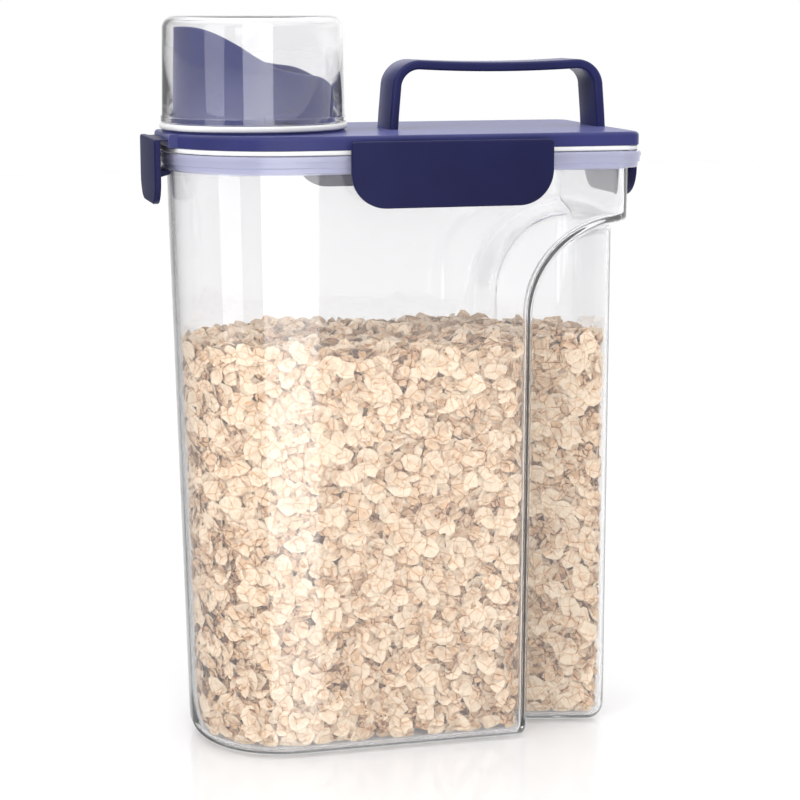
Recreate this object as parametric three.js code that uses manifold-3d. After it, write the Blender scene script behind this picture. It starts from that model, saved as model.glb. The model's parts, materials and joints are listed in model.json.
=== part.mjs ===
// Cereal dispenser: a clear pour container with a clip-on lid, four swinging latches,
// a pour spout under a clear measuring cap, and a carrying handle.
// Millimetres, +Z up, -X is the pouring end. The origin is the centre of the footprint.
import * as THREE from 'three';
import { mergeVertices } from 'three/addons/utils/BufferGeometryUtils.js';
import Module from 'manifold-3d';

const wasm = await Module();
wasm.setup();

// ---------- driving dimensions ----------
const GAP = 0.3;               // clearance between touching pieces

const FLANGE_LENGTH = 190;      // along X, the longest outline of the container
const FLANGE_WIDTH = 99;
const FRONT_RADIUS = 47;       // the pouring end is almost a half round
const BACK_RADIUS = 6;
const WALL_CORNER = 5;         // least radius of the back corners
const FLANGE_TOP = 247.5;
const FLANGE_HEIGHT = 6.7;

const WALL = 1.8;
const FLOOR = 2.4;
const FOOT_ROUND = 7;          // rounded edge between floor and walls
// how far the wall stands in from the flange's outline, at the top and at the foot
const TOP_INSET = { front: 3.5, side: 4.5, back: 4.3 };
const FOOT_INSET = { front: 8.9, side: 7.5, back: 3.8 };

const GRIP_STEP_X = 52.2;       // where the hand recess begins
const GRIP_HALF_STEP = 23;     // half the grip's thickness at the step
const GRIP_HALF_BACK = 31;     // and at the back end
const GRIP_ARC_START = 181;    // height where the recess starts to arch back
const GRIP_TOP = 217;

const GASKET_VISIBLE = 2.0;    // height of the seal between flange and lid
const LID_INSET = 1.0;
const LID_TOP = 255.3;
const LID_ROUND = 1.2;
const LID_PLATE = 2.4;
const SKIRT_INSET = 7.2;       // the plug that enters the mouth
const SKIRT_WALL = 1.6;
const SKIRT_DEPTH = 6.4;

const SPOUT_X = -56.2;         // centre of spout, cap and their seals
const PAD_RADIUS = 37.4;
const PAD_HEIGHT = 0.8;
const SPOUT_HOLE = 29.9;
const CAP_RING_HEIGHT = 2.6;
const CAP_RING_OUTER = 38.2;
const CAP_RING_INNER = 34.9;
const CAP_BASE_RADIUS = 37.7;
const CAP_TOP_RADIUS = 36.5;
const CAP_HEIGHT = 42.4;
const CAP_ROUND = 5;
const CAP_WALL = 1.5;
const SPOUT_RADIUS = 33.4;
const SPOUT_LIP_RADIUS = 31.8;
const SPOUT_WALL = 1.7;
const SPOUT_HEIGHT = 38;

const HANDLE_CENTRE_X = 45.1;
const HANDLE_SPAN = 93.8;      // outside the two legs at the lid
const HANDLE_TOP_SPAN = 91;
const HANDLE_WIDTH = 22;
const HANDLE_RISE = 28;
const HANDLE_LEG = 3.6;
const HANDLE_BAR = 4.2;
const HANDLE_ROUND = 11;
const HANDLE_SEAT = 1.7;       // depth of the slots that hold the legs

// every latch has the same section, measured outwards from the lid's wall
const HINGE_OUT = 2.1;
const HINGE_Z = 252.7;
const LATCH_INNER = 3.4;
const LATCH_OUTER = 6.0;
const LATCH_TOP = 253.3;
const LATCH_BOTTOM = 227.2;
const HOOK_HEIGHT = 2.9;
const WEB_THICKNESS = 0.8;
const LATCH_CORNER = 14;
const LATCHES = {
  near: { width: 82.6, centre: 13.4, hook: 69, reach: 2.2, corner: LATCH_CORNER },
  far: { width: 82.6, centre: 13.4, hook: 69, reach: 2.2, corner: LATCH_CORNER },
  front: { width: 42, centre: 0, hook: 24, reach: 3.4, corner: 10 },
  back: { width: 56, centre: 0, hook: 42, reach: 2.5, corner: 12 },
};

// heights and lengths that follow from the dimensions above
const FLANGE_BOTTOM = FLANGE_TOP - FLANGE_HEIGHT;
const LID_BOTTOM = FLANGE_TOP + GASKET_VISIBLE + GAP;
const PAD_TOP = LID_TOP + PAD_HEIGHT;
const CAP_BASE = PAD_TOP + CAP_RING_HEIGHT + GAP;
const LID_WALL_Y = FLANGE_WIDTH / 2 - LID_INSET;
const END_BOSS_OUT = FLANGE_LENGTH / 2 - LID_INSET; // flat end bosses that carry the end latches

// ---------- materials ----------
const FINISHES = {
  clear: { color: 0xe9edf0, roughness: 0.06, metalness: 0, transparent: true, opacity: 0.35 },
  navy: { color: 0x303463, roughness: 0.3, metalness: 0 },
  silicone: { color: 0xf3f3f1, roughness: 0.6, metalness: 0 },
};

// ---------- solids ----------

// A closed three.js geometry as a solid.
function solidOf(geometry) {
  const bare = geometry.clone();
  bare.deleteAttribute('normal');
  bare.deleteAttribute('uv');
  const merged = mergeVertices(bare, 1e-4);
  const vertProperties = new Float32Array(merged.attributes.position.array);
  const triVerts = new Uint32Array(merged.index.array);
  return new wasm.Manifold(new wasm.Mesh({ numProp: 3, vertProperties, triVerts }));
}

// A solid as a three.js mesh with a name and a finish.
function meshOf(name, solid, finish) {
  const raw = solid.getMesh();
  const geometry = new THREE.BufferGeometry();
  geometry.setAttribute('position', new THREE.BufferAttribute(raw.vertProperties, 3));
  geometry.setIndex(new THREE.BufferAttribute(raw.triVerts, 1));
  geometry.computeVertexNormals();
  const mesh = new THREE.Mesh(geometry, new THREE.MeshStandardMaterial(FINISHES[finish]));
  mesh.name = name;
  return mesh;
}

function box(low, high) {
  const size = high.map((value, i) => value - low[i]);
  const geometry = new THREE.BoxGeometry(...size);
  geometry.translate(...low.map((value, i) => value + size[i] / 2));
  return solidOf(geometry);
}

// A solid of revolution about the spout's axis, from [radius, height] pairs.
function turned(profile, segments = 56) {
  const points = profile.map(([r, z]) => new THREE.Vector2(r, z));
  const geometry = new THREE.LatheGeometry(points, segments);
  geometry.rotateX(Math.PI / 2);
  geometry.translate(SPOUT_X, 0, 0);
  return solidOf(geometry);
}

// A ring about the spout's axis.
function ring(inner, outer, low, high) {
  return turned([[inner, low], [outer, low], [outer, high], [inner, high], [inner, low]]);
}

// A disc or plug about the spout's axis.
function disc(radius, low, high) {
  return turned([[0, low], [radius, low], [radius, high], [0, high]]);
}

// A profile drawn in X and Z, extruded across Y between two values.
function acrossY(shape, low, high, curveSegments = 10) {
  const options = { depth: high - low, bevelEnabled: false, curveSegments };
  const geometry = new THREE.ExtrudeGeometry(shape, options);
  geometry.rotateX(Math.PI / 2);
  geometry.translate(0, high, 0);
  return solidOf(geometry);
}

// Plan outline of the container: a round pouring end, a squarer back end.
// The insets are measured in from the flange's outline.
function planLoop({ front, side, back }, z) {
  const left = -FLANGE_LENGTH / 2 + front;
  const right = FLANGE_LENGTH / 2 - back;
  const half = FLANGE_WIDTH / 2 - side;
  const frontRadius = FRONT_RADIUS - side;
  const backRadius = Math.max(BACK_RADIUS - side, WALL_CORNER);
  const path = new THREE.Path();
  path.absarc(left + frontRadius, half - frontRadius, frontRadius, Math.PI / 2, Math.PI, false);
  path.absarc(left + frontRadius, frontRadius - half, frontRadius, Math.PI, Math.PI * 1.5, false);
  path.absarc(right - backRadius, backRadius - half, backRadius, Math.PI * 1.5, Math.PI * 2, false);
  path.absarc(right - backRadius, half - backRadius, backRadius, 0, Math.PI / 2, false);
  const points = path.curves.flatMap((curve) => curve.getPoints(curve.isEllipseCurve ? 9 : 1));
  const distinct = points.filter((point, i) => {
    const previous = points[(i + points.length - 1) % points.length];
    return point.distanceTo(previous) > 1e-6;
  });
  return distinct.map((point) => new THREE.Vector3(point.x, point.y, z));
}

const evenInset = (inset) => ({ front: inset, side: inset, back: inset });

// A closed solid through loops of equal length, from the lowest to the highest.
function loft(loops) {
  const count = loops[0].length;
  const positions = loops.flatMap((loop) => loop.flatMap((p) => [p.x, p.y, p.z]));
  const index = [];
  for (let level = 0; level + 1 < loops.length; level += 1) {
    for (let i = 0; i < count; i += 1) {
      const a = level * count + i;
      const b = level * count + ((i + 1) % count);
      index.push(a, b, b + count, a, b + count, a + count);
    }
  }
  const flat = loops[0].map((p) => new THREE.Vector2(p.x, p.y));
  const top = (loops.length - 1) * count;
  for (const [a, b, c] of THREE.ShapeUtils.triangulateShape(flat, [])) {
    index.push(a, c, b, top + a, top + b, top + c);
  }
  const geometry = new THREE.BufferGeometry();
  geometry.setAttribute('position', new THREE.Float32BufferAttribute(positions, 3));
  geometry.setIndex(index);
  return solidOf(geometry);
}

// A solid with the plan outline at every level, from [inset, height] pairs.
function planSolid(levels) {
  return loft(levels.map(([inset, z]) => planLoop(evenInset(inset), z)));
}

// ---------- container ----------

// Insets of the container's wall at a height, taken straight from foot to flange.
function wallInset(z, extra) {
  const t = z / FLANGE_BOTTOM;
  const inset = {};
  for (const end of ['front', 'side', 'back']) {
    inset[end] = THREE.MathUtils.lerp(FOOT_INSET[end], TOP_INSET[end], t) + extra;
  }
  return inset;
}

// Loops of the wall from a rounded foot up to the mouth.
function wallLoops(extra, low, high, round) {
  const loops = [];
  const steps = 4;
  for (let i = 0; i < steps; i += 1) {
    const angle = (i / steps) * (Math.PI / 2);
    const z = low + round * (1 - Math.cos(angle));
    const pull = round * (1 - Math.sin(angle));
    loops.push(planLoop(wallInset(z, extra + pull), z));
  }
  loops.push(planLoop(wallInset(low + round, extra), low + round));
  loops.push(planLoop(wallInset(high, extra), high));
  return loops;
}

// The volume of one hand recess; grow makes it larger all round.
function gripVolume(side, grow) {
  const back = FLANGE_LENGTH / 2 - TOP_INSET.back;
  const reach = 30;
  const shape = new THREE.Shape();
  const left = GRIP_STEP_X - grow;
  const top = GRIP_TOP + grow;
  shape.moveTo(left, -reach);
  shape.lineTo(back + reach, -reach);
  shape.lineTo(back + reach, top);
  shape.lineTo(back, top);
  shape.absellipse(back, GRIP_ARC_START, back - left, top - GRIP_ARC_START, Math.PI / 2, Math.PI, false, 0);
  shape.closePath();
  const depth = FLANGE_WIDTH / 2;
  const geometry = new THREE.ExtrudeGeometry(shape, { depth, bevelEnabled: false, curveSegments: 14 });
  geometry.rotateX(Math.PI / 2);
  const slope = Math.atan2(GRIP_HALF_BACK - GRIP_HALF_STEP, back - GRIP_STEP_X);
  geometry.translate(-GRIP_STEP_X, grow, 0);
  geometry.rotateZ(-slope);
  geometry.translate(GRIP_STEP_X, -GRIP_HALF_STEP, 0);
  const solid = solidOf(geometry);
  return side < 0 ? solid : solid.mirror([0, 1, 0]);
}

function containerBody() {
  const outerLoops = wallLoops(0, 0, FLANGE_BOTTOM, FOOT_ROUND);
  const flangeSteps = [[1.2, 0], [1.2, 2.2], [0.4, 2.7], [0.4, 4.4], [0, 4.8], [0, 6.1], [0.6, FLANGE_HEIGHT]];
  const flange = planSolid(flangeSteps.map(([inset, rise]) => [inset, FLANGE_BOTTOM + rise]));
  const mouth = FLANGE_TOP + 1;
  const cavity = loft(wallLoops(WALL, FLOOR, mouth, FOOT_ROUND - WALL));
  let outer = loft(outerLoops).add(flange);
  let inner = cavity;
  for (const side of [-1, 1]) {
    outer = outer.subtract(gripVolume(side, 0));
    inner = inner.subtract(gripVolume(side, WALL));
  }
  return meshOf('container_body', outer.subtract(inner), 'clear');
}

// ---------- lid ----------

function lidShell() {
  const edge = [
    [LID_INSET, LID_BOTTOM],
    [LID_INSET, LID_TOP - LID_ROUND],
    [LID_INSET + LID_ROUND * 0.3, LID_TOP - LID_ROUND * 0.3],
    [LID_INSET + LID_ROUND, LID_TOP],
  ];
  let lid = planSolid(edge);
  for (const end of [-1, 1]) {
    const width = end < 0 ? LATCHES.front.width : LATCHES.back.width;
    const span = [end * END_BOSS_OUT, end * (END_BOSS_OUT - 20)].sort((a, b) => a - b);
    const low = [span[0], -width / 2 + 1, LID_BOTTOM];
    lid = lid.add(box(low, [span[1], width / 2 - 1, LID_TOP - LID_ROUND]));
  }
  const skirtBottom = FLANGE_TOP - SKIRT_DEPTH;
  lid = lid.add(planSolid([[SKIRT_INSET, skirtBottom], [SKIRT_INSET, LID_BOTTOM + 1]]));
  lid = lid.add(disc(PAD_RADIUS, LID_TOP - 1, PAD_TOP));
  const pocketInset = SKIRT_INSET + SKIRT_WALL;
  const pocketTop = LID_TOP - LID_PLATE;
  lid = lid.subtract(planSolid([[pocketInset, skirtBottom - 1], [pocketInset, pocketTop]]));
  const grooveBlock = planSolid([[1.9, LID_BOTTOM - 1], [1.9, LID_BOTTOM + 1]]);
  const grooveCore = planSolid([[5.9, LID_BOTTOM - 2], [5.9, LID_BOTTOM + 2]]);
  lid = lid.subtract(grooveBlock.subtract(grooveCore));
  lid = lid.subtract(disc(SPOUT_HOLE, skirtBottom - 1, PAD_TOP + 1));
  lid = lid.subtract(ring(32.1, 33.7, PAD_TOP - 0.6, PAD_TOP + 1));
  for (const side of [-1, 1]) {
    const centre = HANDLE_CENTRE_X + side * (HANDLE_SPAN - HANDLE_LEG) / 2;
    const reach = HANDLE_LEG / 2 + GAP;
    const half = HANDLE_WIDTH / 2 + GAP;
    const low = [centre - reach, -half, LID_TOP - HANDLE_SEAT - GAP];
    lid = lid.subtract(box(low, [centre + reach, half, LID_TOP + 1]));
  }
  return meshOf('lid_shell', lid, 'navy');
}

function lidGasket() {
  const low = FLANGE_TOP + GAP;
  const high = LID_BOTTOM + 1 - GAP;
  const outer = planSolid([[2.2, low], [2.2, high]]);
  const inner = planSolid([[5.6, low - 1], [5.6, high + 1]]);
  return meshOf('lid_gasket', outer.subtract(inner), 'silicone');
}

// ---------- latches ----------

// A latch in its own section: X along its width, -Y outwards, built at Y = 0 for the lid's wall.
function latchSolid({ width, hook, reach, corner }) {
  const half = width / 2;
  const shape = new THREE.Shape();
  shape.moveTo(-half, LATCH_TOP);
  shape.lineTo(-half, LATCH_BOTTOM + corner);
  shape.absarc(-half + corner, LATCH_BOTTOM + corner, corner, Math.PI, Math.PI * 1.5, false);
  shape.absarc(half - corner, LATCH_BOTTOM + corner, corner, Math.PI * 1.5, Math.PI * 2, false);
  shape.lineTo(half, LATCH_TOP);
  shape.closePath();
  const plate = acrossY(shape, -LATCH_OUTER, -LATCH_INNER, 8);
  const hookTop = FLANGE_BOTTOM - GAP;
  const section = new THREE.Shape();
  section.moveTo(LATCH_INNER + 0.5, hookTop);
  section.lineTo(-reach, hookTop);
  section.lineTo(-reach, hookTop - HOOK_HEIGHT * 0.5);
  section.lineTo(LATCH_INNER, hookTop - HOOK_HEIGHT);
  section.lineTo(LATCH_INNER + 0.5, hookTop - HOOK_HEIGHT);
  section.closePath();
  const bar = new THREE.ExtrudeGeometry(section, { depth: hook, bevelEnabled: false });
  bar.rotateX(Math.PI / 2);
  bar.rotateZ(-Math.PI / 2);
  bar.translate(hook / 2, 0, 0);
  return plate.add(solidOf(bar));
}

// Turns and moves a solid built for the near side onto one of the four sides.
function toSide(solid, side, centre) {
  const turns = { near: 0, back: 90, far: 180, front: 270 };
  const wall = side === 'near' || side === 'far' ? LID_WALL_Y : END_BOSS_OUT;
  const turned = solid.translate([0, -wall, 0]).rotate([0, 0, turns[side]]);
  return turned.translate([centre, 0, 0]);
}

function latch(side) {
  const spec = LATCHES[side];
  let solid = toSide(latchSolid(spec), side, spec.centre);
  if (side === 'front') {
    const wallRadius = FRONT_RADIUS - TOP_INSET.side + 1.2;
    const round = new THREE.CylinderGeometry(wallRadius, wallRadius, 20, 72);
    round.rotateX(Math.PI / 2);
    round.translate(-FLANGE_LENGTH / 2 + TOP_INSET.front + FRONT_RADIUS - TOP_INSET.side, 0, FLANGE_BOTTOM);
    solid = solid.subtract(solidOf(round));
  }
  return meshOf(`latch_${side}`, solid, 'navy');
}

function latchWeb(side) {
  const spec = LATCHES[side];
  const half = spec.width / 2 - 3;
  const low = [-half, -LATCH_INNER + GAP, HINGE_Z - WEB_THICKNESS / 2];
  const web = box(low, [half, -GAP, HINGE_Z + WEB_THICKNESS / 2]);
  return meshOf(`latch_web_${side}`, toSide(web, side, spec.centre), 'navy');
}

// ---------- spout, seals and measuring cap ----------

// The S-shaped pouring edge: high at the front, sweeping down to a rounded low side.
function aboveSpoutEdge() {
  const rim = CAP_BASE;
  const edge = new THREE.SplineCurve([
    new THREE.Vector2(-25, SPOUT_HEIGHT - 0.8),
    new THREE.Vector2(-13, 31.5),
    new THREE.Vector2(-4, 25.8),
    new THREE.Vector2(4, 21.8),
    new THREE.Vector2(15, 19.2),
    new THREE.Vector2(25, 17),
    new THREE.Vector2(31, 12.5),
    new THREE.Vector2(36, 6),
  ]);
  const shape = new THREE.Shape();
  shape.moveTo(SPOUT_X - 45, rim + SPOUT_HEIGHT + 5);
  shape.lineTo(SPOUT_X - 45, rim + SPOUT_HEIGHT - 0.4);
  for (const point of edge.getPoints(22)) {
    shape.lineTo(SPOUT_X + point.x, rim + point.y);
  }
  shape.lineTo(SPOUT_X + 45, rim + 6);
  shape.lineTo(SPOUT_X + 45, rim + SPOUT_HEIGHT + 5);
  shape.closePath();
  return acrossY(shape, -50, 50);
}

function pourSpout() {
  const seat = PAD_TOP + GAP;
  const collar = seat + 1.6;
  const top = CAP_BASE + SPOUT_HEIGHT;
  const throat = SPOUT_HOLE - GAP;
  const profile = [
    [throat, LID_TOP - LID_PLATE - 3],
    [throat, seat],
    [CAP_RING_INNER - GAP, seat],
    [CAP_RING_INNER - GAP, collar],
    [SPOUT_RADIUS, collar],
    [SPOUT_LIP_RADIUS, top - 4],
    [SPOUT_LIP_RADIUS + 0.5, top],
    [SPOUT_LIP_RADIUS + 0.5 - SPOUT_WALL, top],
    [SPOUT_LIP_RADIUS - SPOUT_WALL, top - 4],
    [throat - SPOUT_WALL, collar],
    [throat - SPOUT_WALL, LID_TOP - LID_PLATE - 3],
    [throat, LID_TOP - LID_PLATE - 3],
  ];
  let spout = turned(profile);
  for (const side of [-1, 1]) {
    const reach = [side * (SPOUT_RADIUS - 1.5), side * (SPOUT_RADIUS + 1)].sort((a, b) => a - b);
    const low = [SPOUT_X - 2, reach[0], collar + 2.2];
    spout = spout.add(box(low, [SPOUT_X + 10.6, reach[1], collar + 5.2]));
  }
  return meshOf('pour_spout', spout.subtract(aboveSpoutEdge()), 'navy');
}

function spoutSeal() {
  return meshOf('spout_seal', ring(32.4, 33.4, PAD_TOP - GAP, PAD_TOP), 'silicone');
}

function capSealRing() {
  const low = PAD_TOP + GAP / 2;
  const solid = ring(CAP_RING_INNER, CAP_RING_OUTER, low, low + CAP_RING_HEIGHT - GAP / 2);
  return meshOf('cap_seal_ring', solid, 'silicone');
}

function measuringCap() {
  const top = CAP_BASE + CAP_HEIGHT;
  const outside = [];
  const inside = [];
  const steps = 5;
  for (let i = 0; i <= steps; i += 1) {
    const angle = (i / steps) * (Math.PI / 2);
    const outerX = CAP_TOP_RADIUS - CAP_ROUND * (1 - Math.cos(angle));
    outside.push([outerX, top - CAP_ROUND * (1 - Math.sin(angle))]);
    const innerRound = CAP_ROUND - CAP_WALL;
    const innerX = CAP_TOP_RADIUS - CAP_WALL - innerRound * (1 - Math.cos(angle));
    inside.push([innerX, top - CAP_WALL - innerRound * (1 - Math.sin(angle))]);
  }
  const profile = [
    [CAP_BASE_RADIUS - CAP_WALL, CAP_BASE],
    [CAP_BASE_RADIUS, CAP_BASE],
    ...outside,
    [0, top],
    [0, top - CAP_WALL],
    ...inside.reverse(),
    [CAP_BASE_RADIUS - CAP_WALL, CAP_BASE],
  ];
  return meshOf('measuring_cap', turned(profile, 64), 'clear');
}

// ---------- handle ----------

function handle() {
  const base = LID_TOP - HANDLE_SEAT;
  const top = LID_TOP + HANDLE_RISE;
  const foot = HANDLE_SPAN / 2;
  const head = HANDLE_TOP_SPAN / 2;
  const inner = HANDLE_ROUND - HANDLE_LEG;
  const dip = 1;
  const shape = new THREE.Shape();
  shape.moveTo(-foot, base);
  shape.lineTo(-foot + HANDLE_LEG, base);
  shape.lineTo(-head + HANDLE_LEG, top - HANDLE_BAR - inner);
  shape.quadraticCurveTo(-head + HANDLE_LEG, top - HANDLE_BAR, -head + HANDLE_LEG + inner, top - HANDLE_BAR);
  shape.quadraticCurveTo(0, top - HANDLE_BAR - 2 * dip, head - HANDLE_LEG - inner, top - HANDLE_BAR);
  shape.quadraticCurveTo(head - HANDLE_LEG, top - HANDLE_BAR, head - HANDLE_LEG, top - HANDLE_BAR - inner);
  shape.lineTo(foot - HANDLE_LEG, base);
  shape.lineTo(foot, base);
  shape.lineTo(head, top - HANDLE_ROUND);
  shape.quadraticCurveTo(head, top, head - HANDLE_ROUND, top);
  shape.quadraticCurveTo(0, top - 2 * dip, -head + HANDLE_ROUND, top);
  shape.quadraticCurveTo(-head, top, -head, top - HANDLE_ROUND);
  shape.closePath();
  const solid = acrossY(shape, -HANDLE_WIDTH / 2, HANDLE_WIDTH / 2, 8);
  return meshOf('handle', solid.translate([HANDLE_CENTRE_X, 0, 0]), 'navy');
}

// ---------- assembly ----------

const dispenser = new THREE.Group();
dispenser.add(containerBody(), lidShell(), lidGasket(), handle());
for (const side of Object.keys(LATCHES)) {
  dispenser.add(latch(side), latchWeb(side));
}
dispenser.add(pourSpout(), spoutSeal(), capSealRing(), measuringCap());

export default dispenser;
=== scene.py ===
"""Cereal dispenser: clear pour container, navy clip-on lid, four latches, spout, measuring cap and handle.

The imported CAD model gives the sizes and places. This script builds the fine surface of every piece
around it, fills the container with oat flakes, and sets a pale floor, soft light and a camera.
Shapes are worked out in millimetres and turned to metres when a mesh is made.
"""

import json
import logging
import math
from dataclasses import dataclass
from enum import Enum

import bmesh
import bpy
import numpy as np
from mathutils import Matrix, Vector
from mathutils.bvhtree import BVHTree
from mathutils.geometry import delaunay_2d_cdt

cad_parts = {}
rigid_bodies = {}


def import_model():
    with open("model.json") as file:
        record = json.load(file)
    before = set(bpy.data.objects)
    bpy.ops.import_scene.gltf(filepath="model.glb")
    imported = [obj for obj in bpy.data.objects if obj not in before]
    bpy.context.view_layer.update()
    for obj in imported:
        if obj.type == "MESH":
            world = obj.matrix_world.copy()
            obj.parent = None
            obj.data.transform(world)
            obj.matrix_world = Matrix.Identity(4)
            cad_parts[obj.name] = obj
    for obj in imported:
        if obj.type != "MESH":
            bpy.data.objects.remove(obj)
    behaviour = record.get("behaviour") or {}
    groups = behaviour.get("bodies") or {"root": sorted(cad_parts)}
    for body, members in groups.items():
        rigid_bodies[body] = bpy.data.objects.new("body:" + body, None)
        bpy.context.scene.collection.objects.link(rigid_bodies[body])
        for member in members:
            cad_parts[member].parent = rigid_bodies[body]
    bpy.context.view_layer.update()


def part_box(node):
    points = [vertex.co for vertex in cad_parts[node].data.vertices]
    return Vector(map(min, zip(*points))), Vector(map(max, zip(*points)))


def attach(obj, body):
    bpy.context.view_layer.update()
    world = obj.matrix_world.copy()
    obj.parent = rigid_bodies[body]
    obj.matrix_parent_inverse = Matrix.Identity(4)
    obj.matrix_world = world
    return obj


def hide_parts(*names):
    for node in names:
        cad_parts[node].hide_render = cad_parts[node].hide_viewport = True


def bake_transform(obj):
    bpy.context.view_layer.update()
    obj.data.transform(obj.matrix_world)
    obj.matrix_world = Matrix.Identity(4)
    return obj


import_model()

MM = 0.001
MERGE_DISTANCE = 1e-6
LOG = logging.getLogger("dispenser")

# Millimetres: how far the pad stands up from the lid, the lid up from the rim and the handle down
# into the lid, how far in the gasket lies and half its width, half the cap ring's width, and the
# width of the seal under the spout
PAD_HEIGHT = 0.8
LID_GAP = 2.3
HANDLE_SEAT = 1.2
GASKET_INSET = 2.9
GASKET_HALF_WIDTH = 2.0
RING_HALF_WIDTH = 1.65
SEAL_WIDTH = 1.0


class Side(Enum):
    """The four sides that carry a latch."""

    NEAR = "near"
    FAR = "far"
    FRONT = "front"
    BACK = "back"

    @property
    def turn(self) -> float:
        """Angle in radians from the near side, seen from above."""
        return {"near": 0.0, "back": 0.5, "far": 1.0, "front": 1.5}[self.value] * math.pi


# Hook width, corner radius and hook reach of each latch
LATCH_SHAPES = {
    Side.NEAR: (69.0, 14.0, 2.2),
    Side.FAR: (69.0, 14.0, 2.2),
    Side.FRONT: (24.0, 10.0, 1.8),
    Side.BACK: (42.0, 12.0, 2.5),
}


# ---------- measures taken from the frame ----------


def node_box(name: str) -> tuple[np.ndarray, np.ndarray]:
    """Corners of a CAD node.

    Args:
        name: Name of the node.

    Returns:
        Its lowest and highest corner in millimetres.
    """
    low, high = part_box(name)
    return np.array(low) / MM, np.array(high) / MM


# ---------- mesh helpers ----------


def smootherstep(t: np.ndarray) -> np.ndarray:
    """Rises from 0 to 1 with no kink at either end."""
    t = np.clip(t, 0.0, 1.0)
    return t * t * t * (t * (6 * t - 15) + 10)


def rolled(radius: float, steps: int) -> list:
    """Pairs of (pull, drop) round a quarter circle, from its upright side to its level top."""
    angles = np.linspace(0, math.pi / 2, steps)
    return [(radius * (1 - math.cos(angle)), radius * (1 - math.sin(angle))) for angle in angles]


def circle(centre_x: float, radius: float | np.ndarray, z: float | np.ndarray, count: int) -> np.ndarray:
    """Points of an upright axis's ring, with one radius and height or one of each for every point."""
    angles = np.linspace(0, 2 * math.pi, count, endpoint=False)
    z = np.broadcast_to(z, angles.shape)
    return np.column_stack([centre_x + radius * np.cos(angles), radius * np.sin(angles), z])


def rounded_rectangle(half_x: float, half_y: float, corner: float, steps: int = 4) -> np.ndarray:
    """Points of a rectangle with round corners, anticlockwise, in millimetres."""
    points = []
    for i, (sx, sy) in enumerate([(1, 1), (-1, 1), (-1, -1), (1, -1)]):
        for angle in np.linspace(i * math.pi / 2, (i + 1) * math.pi / 2, steps + 1):
            cx, cy = sx * (half_x - corner), sy * (half_y - corner)
            points.append((cx + corner * math.cos(angle), cy + corner * math.sin(angle)))
    return np.array(points)


def mesh_object(name: str, points: np.ndarray, faces: list, smooth_angle: float = 35.0) -> bpy.types.Object:
    """Makes a mesh object at the origin.

    Args:
        name: Name of the piece.
        points: Vertices in millimetres.
        faces: Vertex indices of every face.
        smooth_angle: Edges sharper than this many degrees stay crisp.

    Returns:
        The new object, linked to the scene.
    """
    mesh = bpy.data.meshes.new(name)
    mesh.from_pydata((np.asarray(points, float) * MM).tolist(), [], [list(map(int, f)) for f in faces])
    piece = bpy.data.objects.new(name, mesh)
    bpy.context.scene.collection.objects.link(piece)
    tidy_mesh(piece, smooth_angle)
    return piece


def tidy_mesh(piece: bpy.types.Object, smooth_angle: float = 35.0) -> None:
    """Merges doubles, turns faces outwards and sets smooth shading."""
    work = bmesh.new()
    work.from_mesh(piece.data)
    bmesh.ops.remove_doubles(work, verts=work.verts, dist=MERGE_DISTANCE)
    bmesh.ops.recalc_face_normals(work, faces=work.faces)
    work.to_mesh(piece.data)
    work.free()
    smooth(piece.data, smooth_angle)


def smooth(mesh: bpy.types.Mesh, angle: float) -> None:
    """Shades a mesh smooth, with edges above an angle in degrees kept crisp."""
    mesh.shade_smooth()
    mesh.set_sharp_from_angle(angle=math.radians(angle))


def bridge(count: int, rows: int) -> list:
    """Quads between stacked closed loops.

    Args:
        count: Points in each loop.
        rows: Number of loops.

    Returns:
        Lists of four vertex indices.
    """
    faces = []
    for first in range(0, (rows - 1) * count, count):
        for i in range(count):
            a, b = first + i, first + (i + 1) % count
            faces.append([a, b, b + count, a + count])
    return faces


def stacked(name: str, loops: list, capped: bool = True, smooth_angle: float = 35.0) -> bpy.types.Object:
    """A closed solid from loops of equal length.

    Args:
        name: Name of the piece.
        loops: Loops of points in millimetres, one after another along the surface.
        capped: True closes the first and last loop with a flat face, False joins them.
        smooth_angle: Edges sharper than this many degrees stay crisp.

    Returns:
        The new object.
    """
    count = len(loops[0])
    faces = bridge(count, len(loops))
    last = (len(loops) - 1) * count
    if capped:
        faces += [list(range(count))[::-1], list(range(last, last + count))]
    else:
        faces += [[last + i, last + (i + 1) % count, (i + 1) % count, i] for i in range(count)]
    return mesh_object(name, np.vstack(loops), faces, smooth_angle)


def turned(name: str, profile: list, centre_x: float, segments: int = 144) -> bpy.types.Object:
    """A solid of revolution about an upright axis.

    Args:
        name: Name of the piece.
        profile: Closed list of (radius, height) in millimetres; a radius of 0 lies on the axis.
        centre_x: Place of the axis along X.
        segments: Steps round the axis.

    Returns:
        The new object.
    """
    loops = [circle(centre_x, radius, height, segments) for radius, height in profile]
    if profile[0] == profile[-1]:
        return stacked(name, loops[:-1], capped=False)
    return stacked(name, loops)


def combine(base: bpy.types.Object, tool: bpy.types.Object, operation: str) -> bpy.types.Object:
    """Joins a tool to a solid or cuts it away, and deletes the tool.

    Args:
        base: The solid that stays.
        tool: The solid that is used up.
        operation: "UNION" or "DIFFERENCE".

    Returns:
        The base with its new mesh.
    """
    cut = base.modifiers.new("cut", "BOOLEAN")
    cut.object = tool
    cut.operation = operation
    cut.solver = "EXACT"
    return settle(base, tool)


def combine_soft(base: bpy.types.Object, tool: bpy.types.Object) -> bpy.types.Object:
    """Joins two solids and keeps smooth faces smooth."""
    joined = combine(base, tool, "UNION")
    tidy_mesh(joined, 40.0)
    return joined


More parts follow.
